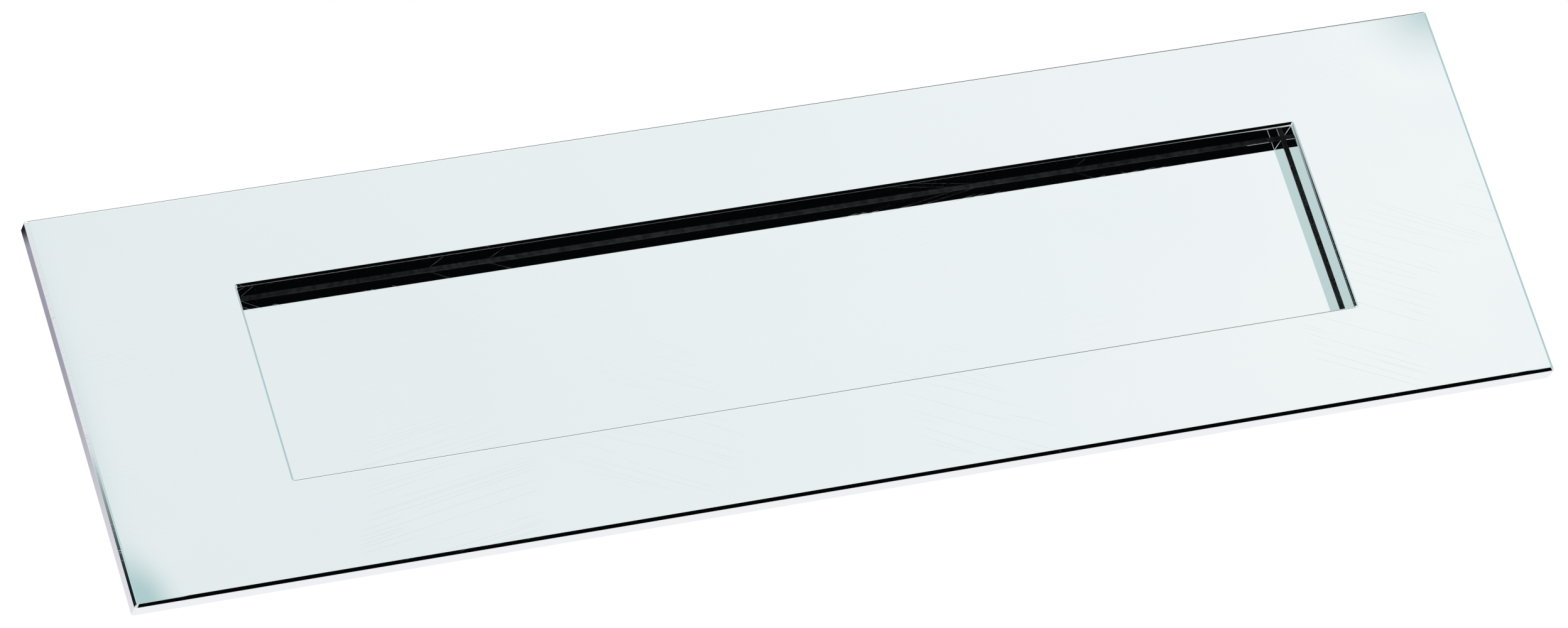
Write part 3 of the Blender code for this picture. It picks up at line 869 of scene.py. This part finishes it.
def build_flap():
    flap = raw("flap_chrome", prism(flap_outline(), (2 * FLAP_HALF, 0, 0)))
    for side, _ in SIDES:
        combine(flap, corner_bite(side), "DIFFERENCE")
        combine(flap, soft_block(side, BARREL_GAP, 0.9 * MM, 5), "DIFFERENCE")
    bore_length = 2 * FLAP_HALF + 2 * MM
    bore_start = (-FLAP_HALF - 1 * MM, AXIS_Y, AXIS_Z)
    bore = cylinder(PIN_HOLE, bore_length, bore_start, (1, 0, 0), 40)
    combine(flap, bore, "DIFFERENCE")
    finish_piece(
        flap,
        "flap",
        MAT_FLAP,
        body="flap",
        sharp=34,
        soften=0.22 * MM,
        segments=3,
    )


build_flap()


# =============================================================================
# Hinge pin, clips, spacers
# =============================================================================

PIN_END = pin_high.x
# The right half of the pin, with the clip's groove: distance from the middle, radius,
# corner radius.
PIN_RIGHT = [
    mm(102.50, 1.5, 0.05),
    mm(102.50, 1.1, 0.05),
    mm(103.40, 1.1, 0.05),
    mm(103.40, 1.5, 0.08),
    (PIN_END, *mm(1.5, 0.42)),
    (PIN_END, 0, 0),
]

CLIP_X = (clip_low.x + clip_high.x) / 2
CLIP_THICK = clip_high.x - clip_low.x
CLIP_OUTER, CLIP_GRIP, CLIP_RELIEF = mm(2.9, 1.30, 1.85)  # radii: rim, lugs, between lugs
CLIP_MOUTH = math.radians(38)  # half angle of the opening
CLIP_LUGS = (285, 180, 75)  # degrees round from straight down


def build_pin():
    profile = [(-x, radius, fillet) for x, radius, fillet in reversed(PIN_RIGHT)] + PIN_RIGHT
    shape = turned(rounded_profile(profile), (0, AXIS_Y, AXIS_Z), (1, 0, 0), 40)
    finish_piece(raw("hinge_pin_rod", shape), "hinge_pin", MAT_PIN)


def clip_outline(x):
    """A snap ring with three inner lugs and its mouth downwards."""
    points = []

    def at(radius, angle):
        points.append((x, AXIS_Y + radius * math.sin(angle), AXIS_Z - radius * math.cos(angle)))

    steps = 48
    for step in range(steps + 1):
        at(CLIP_OUTER, CLIP_MOUTH + (2 * math.pi - 2 * CLIP_MOUTH) * step / steps)
    for centre in CLIP_LUGS:
        for step in range(7):
            at(CLIP_GRIP, math.radians(centre + 17 - 34 * step / 6))
        if centre != CLIP_LUGS[-1]:
            for step in range(9):
                at(CLIP_RELIEF, math.radians(centre - 30 - 45 * step / 8))
    return points


def build_clip(side, label):
    outline = clip_outline(side * CLIP_X - CLIP_THICK / 2)
    clip = raw("snap_ring_" + label, prism(outline, (CLIP_THICK, 0, 0)))
    finish_piece(clip, "pin_clip_" + label, MAT_CLIP, soften=0.07 * MM)


def build_spacer(side, label):
    inner, outer = spacer_low.x, spacer_high.x
    # Distance from the middle, radius, corner radius.
    profile = [
        (inner + 0.1 * MM, *mm(1.8, 0)),
        (inner, *mm(1.9, 0.08)),
        (inner, *mm(3.0, 0.14)),
        (outer, *mm(3.0, 0.14)),
        (outer, *mm(1.9, 0.08)),
        (outer - 0.1 * MM, *mm(1.8, 0)),
    ]
    shape = turned(rounded_profile(profile), (0, AXIS_Y, AXIS_Z), (side, 0, 0), 48)
    spacer = raw("nylon_spacer_" + label, shape)
    finish_piece(spacer, "hinge_washer_" + label, MAT_NYLON)


build_pin()
for side, label in SIDES:
    build_clip(side, label)
    build_spacer(side, label)


# =============================================================================
# Hinge brackets and screws
# =============================================================================

FOOT_FRONT, FOOT_BACK = mm(-0.3, 1.5)
FOOT_LOW, FOOT_TOP = mm(50.4, 62.2)
FOOT_CORNER = 1.8 * MM
FOOT_END = bracket_high.x
EAR_INNER, EAR_OUTER = mm(100.2, 102.4)
EAR_LOW = 52.8 * MM
EAR_HEAD = 3.9 * MM  # radius of the ear's round end
HEAD_DROP = 0.2 * MM  # how far below the pin's axis that end is centred
FILLET = 0.9 * MM
FILLET_LOW, FILLET_LENGTH = mm(53.2, 8.4)
FILLET_SUNK = 0.1 * MM  # how far the fillet runs into the foot and the ear


def foot_outline(side):
    corner_x = FOOT_END - FOOT_CORNER
    start_x = EAR_INNER + 0.6 * MM
    outline = [
        *arc((corner_x, FOOT_LOW + FOOT_CORNER), FOOT_CORNER, 270, 360, 8),
        *arc((corner_x, FOOT_TOP - FOOT_CORNER), FOOT_CORNER, 0, 90, 8),
        (start_x, FOOT_TOP),
        (start_x, FOOT_LOW),
    ]
    return [(side * x, FOOT_FRONT, z) for x, z in outline]


def ear_outline(x):
    """The ear: from the level of the foot's front face back to a round head about the pin."""
    head = arc((AXIS_Y, AXIS_Z - HEAD_DROP), EAR_HEAD, 100, -90, 28)
    return [(x, y, z) for y, z in ((FOOT_FRONT, EAR_LOW), (FOOT_FRONT, FOOT_TOP), *head)]


def fillet_outline(side):
    """The round fillet inside the bend between ear and foot."""
    sunk_x = side * (EAR_OUTER - FILLET_SUNK)
    buried = Vector((sunk_x, FOOT_BACK - FILLET_SUNK, FILLET_LOW))
    curve = arc((EAR_OUTER + FILLET, FOOT_BACK + FILLET), FILLET, 270, 180, 8)
    return [
        buried,
        buried + Vector((side * (FILLET + FILLET_SUNK), 0, 0)),
        *((side * x, y, FILLET_LOW) for x, y in curve),
        (sunk_x, FOOT_BACK + FILLET, FILLET_LOW),
    ]


def build_bracket(side, label):
    foot = prism(foot_outline(side), (0, FOOT_BACK - FOOT_FRONT, 0))
    bracket = raw("bracket_pressed_" + label, foot)
    ear = prism(ear_outline(side * EAR_INNER), (side * (EAR_OUTER - EAR_INNER), 0, 0))
    combine(bracket, ear, "UNION")
    combine(bracket, prism(fillet_outline(side), (0, 0, FILLET_LENGTH)), "UNION")
    pin_hole_start = (side * (EAR_INNER - 1.5 * MM), AXIS_Y, AXIS_Z)
    holes = cylinder(PIN_HOLE, 6 * MM, pin_hole_start, (side, 0, 0), 40)
    for _, z, _ in SCREWS:
        start = (side * SCREW_X, -3 * MM, z)
        cylinder(1.4 * MM, 8 * MM, start, (0, 1, 0), 32, shape=holes)
    combine(bracket, holes, "DIFFERENCE")
    finish_piece(
        bracket,
        "hinge_bracket_" + label,
        MAT_BRACKET,
        soften=0.16 * MM,
        segments=3,
    )


def build_screw(side, label, level, z, slot_angle):
    """A slotted screw, its head at the back."""
    node = f"bracket_screw_{label}_{level}"
    low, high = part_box(node)
    tip, top = low.y, high.y
    under = top - 1.6 * MM
    # y, radius, corner radius.
    profile = [
        (tip, 0, 0),
        (tip, *mm(0.75, 0)),
        (tip + 0.3 * MM, *mm(1.0, 0)),
        (under, *mm(1.0, 0.1)),
        (under, *mm(2.3, 0.12)),
        (under + 0.85 * MM, *mm(2.3, 0.25)),
        (top - 0.22 * MM, *mm(1.75, 0.6)),
        (top, *mm(0.6, 0.5)),
        (top, 0, 0),
    ]
    shape = turned(rounded_profile(profile), (side * SCREW_X, 0, z), (0, 1, 0), 40)
    screw = raw(f"slotted_screw_{label}_{level}", shape)
    half_length, half_width, depth = mm(3, 0.33, 0.75)
    slot = block(
        (-half_length, top - depth, -half_width), (half_length, top + 1 * MM, half_width)
    )
    turn = Matrix.Rotation(math.radians(side * slot_angle), 4, "Y")
    bmesh.ops.transform(slot, matrix=turn, verts=slot.verts)
    bmesh.ops.translate(slot, verts=slot.verts, vec=(side * SCREW_X, 0, z))
    combine(screw, slot, "DIFFERENCE")
    finish_piece(screw, node, MAT_ZINC, soften=0.05 * MM)


for side, label in SIDES:
    build_bracket(side, label)
    for level, z, slot_angle in SCREWS:
        build_screw(side, label, level, z, slot_angle)


# =============================================================================
# Torsion springs
# =============================================================================

WIRE = 0.6 * MM  # radius of the wire
COIL = 2.6 * MM  # radius of the coil at the wire's centre
TURNS = 9.25
COIL_PITCH = 1.55 * MM
COIL_START = 62.0 * MM
COIL_END = COIL_START + COIL_PITCH * TURNS
TIP_ASIDE = 1.2 * MM  # how far towards the middle the upper leg bends
TIP_Y = -0.3 * MM
REST_Y = FLAP_REAR + WIRE + 0.3 * MM
LEG_DROP = 14.0 * MM
LEG_ASIDE = 0.4 * MM


def spring_path(side):
    """A leg forward to the plate, the coil round the pin, a leg down the back of the flap."""
    points = []
    for step in range(15):
        part = 1.0 - step / 15
        x = COIL_START - TIP_ASIDE * min(1.0, 2.2 * part)
        points.append((x, AXIS_Y + (TIP_Y - AXIS_Y) * part, AXIS_Z + COIL))
    count = round(TURNS * 32)
    for i in range(count + 1):
        angle = math.pi / 2 - 2 * math.pi * TURNS * i / count
        points.append(
            (
                COIL_START + COIL_PITCH * TURNS * i / count,
                AXIS_Y + COIL * math.cos(angle),
                AXIS_Z + COIL * math.sin(angle),
            )
        )
    coil_back = AXIS_Y + COIL
    for step in range(1, 17):
        part = step / 16
        y = coil_back + (REST_Y - coil_back) * part**1.3
        points.append((COIL_END + LEG_ASIDE * part, y, AXIS_Z - LEG_DROP * part))
    return [Vector((side * x, y, z)) for x, y, z in points]


def wire_mesh(path, radius, sides=14):
    """A round wire swept along a path without twist, with its cut ends eased."""
    last = len(path) - 1
    directions = [
        (path[min(last, i + 1)] - path[max(0, i - 1)]).normalized() for i in range(last + 1)
    ]
    normal = directions[0].orthogonal().normalized()
    frames = []
    for point, direction in zip(path, directions):
        normal = (normal - direction * normal.dot(direction)).normalized()
        frames.append((point, direction, normal, direction.cross(normal)))

    # Rings along the wire: place on the path, shift along it, scale of the radius.
    cap = 0.16
    shift = radius * cap * 0.6
    stations = [(0, 0.0, 1 - cap), (0, shift, 1.0)]
    stations += [(i, 0.0, 1.0) for i in range(1, last)]
    stations += [(last, -shift, 1.0), (last, 0.0, 1 - cap)]
    shape = bmesh.new()
    rings = []
    for index, shift, scale in stations:
        point, direction, normal, binormal = frames[index]
        centre = point + direction * shift
        ring = []
        for k in range(sides):
            angle = 2 * math.pi * k / sides
            spoke = math.cos(angle) * normal + math.sin(angle) * binormal
            ring.append(shape.verts.new(centre + radius * scale * spoke))
        rings.append(ring)
    for row, after in zip(rings, rings[1:]):
        join_rings(shape, row, after)
    shape.faces.new(rings[0])
    shape.faces.new(rings[-1])
    return shape


def build_spring(side, label):
    """The spring stretches between plate and flap, so it is put on neither body."""
    spring = raw("coil_spring_" + label, wire_mesh(spring_path(side), WIRE))
    spring.data.materials.append(MAT_SPRING)
    spring.data.shade_smooth()
    spring.data.set_sharp_from_angle(angle=math.radians(40))
    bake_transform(spring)
    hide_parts("torsion_spring_" + label)


for side, label in SIDES:
    build_spring(side, label)


# =============================================================================
# Threaded studs, washers, nuts, buffers
# =============================================================================

THREAD_PITCH = 0.8 * MM
THREAD_ROOT, THREAD_CREST, THREAD_END = mm(2.06, 2.48, 1.75)  # radii
THREAD_CHAMFER = 0.75 * MM

NUT_FLATS = 4.0 * MM  # from the axis to a flat
NUT_FRONT, NUT_BACK = nut_low.y, nut_high.y


def thread_radius(y, start, end, turn):
    """The thread's radius at a height and a part of a turn, with both ends chamfered."""
    phase = ((y / THREAD_PITCH) - turn) % 1.0
    ridge = 1 - abs(2 * phase - 1)
    # Flats at root and crest.
    ridge = min(1.0, max(0.0, (ridge - 0.12) / 0.72))
    radius = THREAD_ROOT + (THREAD_CREST - THREAD_ROOT) * ridge
    chamfer = min(y - start, end - y) / THREAD_CHAMFER
    return min(radius, THREAD_END + (THREAD_CREST - THREAD_END) * min(1.0, chamfer))


def thread_mesh(origin, start, end, segments=36, per_pitch=6):
    """A screw thread along Y: the radius follows the helix."""
    shape = bmesh.new()
    length = end - start
    count = round(length / THREAD_PITCH * per_pitch)
    origin = Vector(origin)
    rows = []
    for i in range(count + 1):
        y = start + length * i / count
        row = []
        for k in range(segments):
            angle = 2 * math.pi * k / segments
            radius = thread_radius(y, start, end, k / segments)
            offset = Vector((radius * math.cos(angle), y, radius * math.sin(angle)))
            row.append(shape.verts.new(origin + offset))
        rows.append(row)
    for row, after in zip(rows, rows[1:]):
        join_rings(shape, row, after)
    shape.faces.new(rows[0])
    shape.faces.new(rows[-1])
    return shape


def nut_mesh():
    """The left nut: a hexagon, its corners turned off to a cone, with a countersunk hole."""
    corners = NUT_FLATS / math.cos(math.pi / 6)
    origin, along = (-STUD_X, 0, MID_Z), (0, 1, 0)
    hexagon = [(NUT_FRONT, 0), (NUT_FRONT, corners), (NUT_BACK, corners), (NUT_BACK, 0)]
    blank = raw("nut_blank", turned(hexagon, origin, along, 6, phase=math.radians(-15)))
    # Margin past each end, depth of each cone, radius at the ends and between.
    for margin, depth, end_radius, middle_radius, segments, operation in (
        (*mm(0.05, 0.55), NUT_FLATS - 0.12 * MM, NUT_FLATS * 1.17, 72, "INTERSECT"),
        (*mm(1.0, 0.3, 3.9, 2.62), 48, "DIFFERENCE"),
    ):
        profile = [
            (NUT_FRONT - margin, 0),
            (NUT_FRONT - margin, end_radius),
            (NUT_FRONT + depth, middle_radius),
            (NUT_BACK - depth, middle_radius),
            (NUT_BACK + margin, end_radius),
            (NUT_BACK + margin, 0),
        ]
        combine(blank, turned(profile, origin, along, segments), operation)
    mesh = blank.data
    bpy.data.objects.remove(blank, do_unlink=True)
    return mesh


def build_stud(side, label):
    shape = thread_mesh((side * STUD_X, 0, MID_Z), stud_low.y, stud_high.y)
    stud = raw("threaded_stud_" + label, shape)
    finish_piece(stud, "fixing_stud_" + label, MAT_ZINC, sharp=75)


def build_washer(side, label):
    front, back = washer_low.y, washer_high.y
    # y, radius, corner radius.
    profile = [
        (front + 0.1 * MM, *mm(2.8, 0)),
        (front, *mm(2.9, 0.06)),
        (front, *mm(6.0, 0.06)),
        (back, *mm(6.0, 0.42)),
        (back, *mm(2.8, 0.30)),
        (back - 0.5 * MM, *mm(2.8, 0)),
    ]
    shape = turned(rounded_profile(profile, 5), (side * STUD_X, 0, MID_Z), (0, 1, 0), 72)
    washer = raw("plain_washer_" + label, shape)
    finish_piece(washer, "fixing_washer_" + label, MAT_ZINC)


def build_nut(side, label, left_nut):
    """The right nut is the left one's mirror image."""
    shape = bmesh.new()
    shape.from_mesh(left_nut)
    if side > 0:
        bmesh.ops.scale(shape, vec=(-1, 1, 1), verts=shape.verts)
    nut = raw("hex_nut_" + label, shape)
    finish_piece(
        nut, "fixing_nut_" + label, MAT_ZINC, sharp=24, soften=0.06 * MM
    )


def build_buffer(side, label):
    """A rubber button with a domed back."""
    base, top = buffer_low.y, buffer_high.y
    # y, radius, corner radius.
    profile = [
        (base, 0, 0),
        (base, *mm(1.9, 0.1)),
        (base + 0.35 * MM, *mm(2.0, 0.15)),
        (top - 0.95 * MM, *mm(1.95, 0.3)),
        (top - 0.25 * MM, *mm(1.55, 0.5)),
        (top, *mm(0.7, 0.7)),
        (top, 0, 0),
    ]
    x = side * (buffer_low.x + buffer_high.x) / 2
    z = (buffer_low.z + buffer_high.z) / 2
    shape = turned(rounded_profile(profile, 5), (x, 0, z), (0, 1, 0), 48)
    finish_piece(
        raw("rubber_buffer_" + label, shape), "flap_buffer_" + label, MAT_RUBBER
    )


left_nut = nut_mesh()
for side, label in SIDES:
    build_stud(side, label)
    build_washer(side, label)
    build_nut(side, label, left_nut)
    build_buffer(side, label)


# =============================================================================
# Floor, light and what the chrome reflects
# =============================================================================

FLOOR_Z = -0.62
FLOOR_HALF = 9.0


def floor_material():
    net = Finish("floor_pale")
    tone = net.noise(net.coords, scale=3.0, detail=4.0)
    net.surface(
        colour=net.mix(tone, (0.90, 0.90, 0.895), (0.93, 0.93, 0.925)), roughness=0.9
    )
    net.shader.inputs["Specular IOR Level"].default_value = 0.1
    # Far out the floor runs into the white surround, so that no horizon shows.
    far = net.put("ShaderNodeVectorMath", operation="LENGTH")
    net.links.new(net.place(net.coords, scale=(1, 1, 0)), far.inputs[0])
    white = net.put("ShaderNodeEmission")
    white.inputs["Color"].default_value = (1.0, 1.0, 1.0, 1.0)
    join = net.put("ShaderNodeMixShader")
    net.feed(join.inputs[0], net.smooth(far.outputs["Value"], span=(1.2, 5.0)))
    net.links.new(net.shader.outputs[0], join.inputs[1])
    net.links.new(white.outputs[0], join.inputs[2])
    net.links.new(join.outputs[0], net.nodes["Material Output"].inputs["Surface"])
    return net.material


def build_floor():
    shape = bmesh.new()
    bmesh.ops.create_grid(shape, x_segments=8, y_segments=8, size=FLOOR_HALF)
    bmesh.ops.translate(shape, verts=shape.verts, vec=(0, 0, FLOOR_Z))
    floor = raw("studio_floor", shape)
    floor.data.materials.append(floor_material())
    floor.visible_glossy = False


def room_colour(net, bearing, rise):
    """The room's walls, ceiling and ground."""
    around = net.math("ABSOLUTE", bearing)
    room = net.mix(
        net.smooth(bearing, span=(-20, 4)), (0.62, 0.77, 0.775), (0.47, 0.655, 0.668)
    )
    room = net.mix(net.smooth(around, span=(115, 148)), room, (0.88, 0.88, 0.92))
    colour = net.mix(net.smooth(rise, span=(26, 58)), room, (1.02, 1.05, 1.04))
    # The ground: bright behind the plate, softer in front of it.
    behind = net.smooth(around, span=(70, 130))
    ground = net.mix(behind, (0.80, 0.82, 0.82), (0.95, 0.945, 0.975))
    return net.mix(net.fall(rise, span=(-10, -3)), colour, ground)


def add_panel(net, colour, bearing, rise):
    """A large white panel, high in front on the right."""
    panel = net.mul(
        net.mul(net.smooth(bearing, span=(10.5, 17.5)), net.fall(bearing, span=(28.8, 41))),
        net.smooth(rise, span=(18.0, 18.9)),
    )
    glow = net.mix(
        net.smooth(bearing, span=(17, 30)), (0.86, 0.915, 0.93), (0.97, 1.00, 1.01)
    )
    return net.mix(panel, colour, glow)


def add_flags(net, colour, x, y, z, rise, degrees):
    """Narrow black flags: a long strip on the right, and a thin arc low in front."""
    strip = net.mul(
        net.window(x, span=(0.276, 0.448), soft=0.012),
        net.mul(net.fall(rise, span=(17.0, 17.8)), net.fall(y, span=(0.26, 0.34))),
    )
    round_front = net.mul(net.math("ARCTAN2", z, x), degrees)
    hoop = net.mul(
        net.window(y, span=(-0.842, -0.820), soft=0.004),
        net.window(round_front, span=(-141, -45), soft=1.5),
    )
    return net.mix(net.highest(strip, hoop), colour, (0.0012, 0.0015, 0.002))


def add_cards(net, colour, bearing, rise):
    """Pale cards, each shaded across: one low on the left, one straight in front."""
    card = net.mul(
        net.window(bearing, span=(-68, -35), soft=3.0),
        net.window(rise, span=(-31, -19), soft=2.0),
    )
    shade = net.mix(
        net.smooth(bearing, span=(-47.2, -42.6)), (0.52, 0.59, 0.60), (0.93, 0.96, 0.96)
    )
    colour = net.mix(card, colour, shade)
    card = net.mul(
        net.window(bearing, span=(-14, 11), soft=2.0),
        net.window(rise, span=(-9, 7), soft=2.0),
    )
    # The second card's shading runs on a slant about this height.
    slant_centre, slant_slope = -3.0, 1.7
    slant = net.add(bearing, net.mul(net.add(rise, -slant_centre), slant_slope))
    shade = net.mix(
        net.smooth(slant, span=(-2.8, 2.6)), (0.55, 0.62, 0.63), (0.95, 0.975, 0.975)
    )
    return net.mix(card, colour, shade)


def add_shelf(net, colour, bearing, rise):
    """A dark shelf on the left with a slanting right end, and a pale band above it."""
    shelf = net.mul(
        net.window(bearing, span=(-145, -18), soft=4),
        net.mul(net.smooth(rise, span=(9, 13)), net.fall(rise, span=(21.2, 22.4))),
    )
    end_slope = 5.4
    end = net.fall(net.add(bearing, net.mul(rise, end_slope)), span=(80.0, 84.0))
    colour = net.mix(net.mul(shelf, end), colour, (0.004, 0.010, 0.013))
    above = net.mul(
        net.window(bearing, span=(-156, 9), soft=3), net.window(rise, span=(22.4, 30), soft=0.6)
    )
    return net.mix(above, colour, (0.82, 0.85, 0.88))


def add_lamp(net, colour, bearing, rise):
    """A dark lamp head overhead on the right."""
    lamp = net.mul(
        net.window(bearing, span=(58, 122), soft=6), net.window(rise, span=(60, 80), soft=4)
    )
    return net.mix(lamp, colour, (0.05, 0.055, 0.06))


def add_back_wall(net, colour, bearing, rise):
    """Behind on the left: pale below, then lilac grey, with a black band above."""
    left = net.fall(bearing, span=(-159, -156.5))
    wall = net.mix(
        net.smooth(rise, span=(20.9, 23.0)), (0.82, 0.80, 0.86), (0.37, 0.35, 0.43)
    )
    black = (0.01, 0.01, 0.013)
    wall = net.mix(net.window(rise, span=(23.68, 40), soft=0.12), wall, black)
    return net.mix(net.mul(left, net.smooth(rise, span=(8, 14))), colour, wall)


def reflected_colour(net):
    """The studio that mirrors see, by direction.

    The bearing is in degrees from straight in front (-Y), positive to the right (+X).
    The rise is in degrees above the horizon.
    """
    direction = net.put("ShaderNodeTexCoord").outputs["Generated"]
    x, y, z = net.split(direction)
    degrees = 180 / math.pi
    bearing = net.mul(net.math("ARCTAN2", x, net.mul(y, -1.0)), degrees)
    rise = net.mul(net.math("ARCSINE", z), degrees)
    colour = room_colour(net, bearing, rise)
    colour = add_panel(net, colour, bearing, rise)
    colour = add_flags(net, colour, x, y, z, rise, degrees)
    for layer in (add_cards, add_shelf, add_lamp, add_back_wall):
        colour = layer(net, colour, bearing, rise)
    return colour


def build_world():
    """White to the camera and on matt surfaces, and a studio of panels and flags for mirrors."""
    world = bpy.data.worlds.new("studio")
    world.use_nodes = True
    scene.world = world
    world.node_tree.nodes.clear()
    net = NodeNet(world.node_tree)
    colour = reflected_colour(net)
    mirror = net.put("ShaderNodeBackground")
    net.feed(mirror.inputs["Color"], colour)
    matt = net.put("ShaderNodeBackground")
    matt.inputs["Color"].default_value = (1.0, 1.0, 1.0, 1.0)
    matt.inputs["Strength"].default_value = 1.0
    path = net.put("ShaderNodeLightPath")
    choose = net.put("ShaderNodeMixShader")
    net.links.new(path.outputs["Is Glossy Ray"], choose.inputs[0])
    net.links.new(matt.outputs[0], choose.inputs[1])
    net.links.new(mirror.outputs[0], choose.inputs[2])
    out = net.put("ShaderNodeOutputWorld")
    net.links.new(choose.outputs[0], out.inputs["Surface"])


def build_key_light():
    """A soft light from above, in front and to the right, unseen by the chrome."""
    target = Vector((0, 0, 0.03))
    key = bpy.data.lights.new("key_soft", "AREA")
    key.shape = "RECTANGLE"
    key.size = 1.6
    key.size_y = 1.2
    key.energy = 18.0
    obj = bpy.data.objects.new("key_soft", key)
    obj.location = (0.7, -1.0, 1.7)
    obj.rotation_euler = (target - obj.location).to_track_quat("-Z", "Y").to_euler()
    obj.visible_glossy = False
    scene.collection.objects.link(obj)


build_floor()
build_world()
build_key_light()


# =============================================================================
# Camera: from the left of the plate and below it, rolled, through a long lens
# =============================================================================

CAMERA_PLACE = Vector((-0.51596, -1.21462, -0.48956))
CAMERA_FORWARD = Vector((0.361202, 0.856336, 0.369083)).normalized()
CAMERA_ROLL = math.radians(-17.902)
SENSOR_WIDTH = 36.0  # in millimetres, as is the focal length
FOCAL_LENGTH = 196.3052885


def build_camera():
    level = CAMERA_FORWARD.cross(Vector((0, 0, 1))).normalized()
    upright = level.cross(CAMERA_FORWARD)
    across = math.cos(CAMERA_ROLL) * level + math.sin(CAMERA_ROLL) * upright
    up = -math.sin(CAMERA_ROLL) * level + math.cos(CAMERA_ROLL) * upright
    lens = bpy.data.cameras.new("camera")
    lens.sensor_fit = "HORIZONTAL"
    lens.sensor_width = SENSOR_WIDTH
    lens.lens = FOCAL_LENGTH
    lens.clip_start = 0.05
    lens.clip_end = 60.0
    camera = bpy.data.objects.new("camera", lens)
    turn = Matrix((across, up, -CAMERA_FORWARD)).transposed().to_4x4()
    camera.matrix_world = Matrix.Translation(CAMERA_PLACE) @ turn
    scene.collection.objects.link(camera)
    scene.camera = camera


build_camera()
scene.view_settings.view_transform = "Standard"
scene.view_settings.look = "None"
scene.view_settings.exposure = 0.0
scene.view_settings.gamma = 1.0
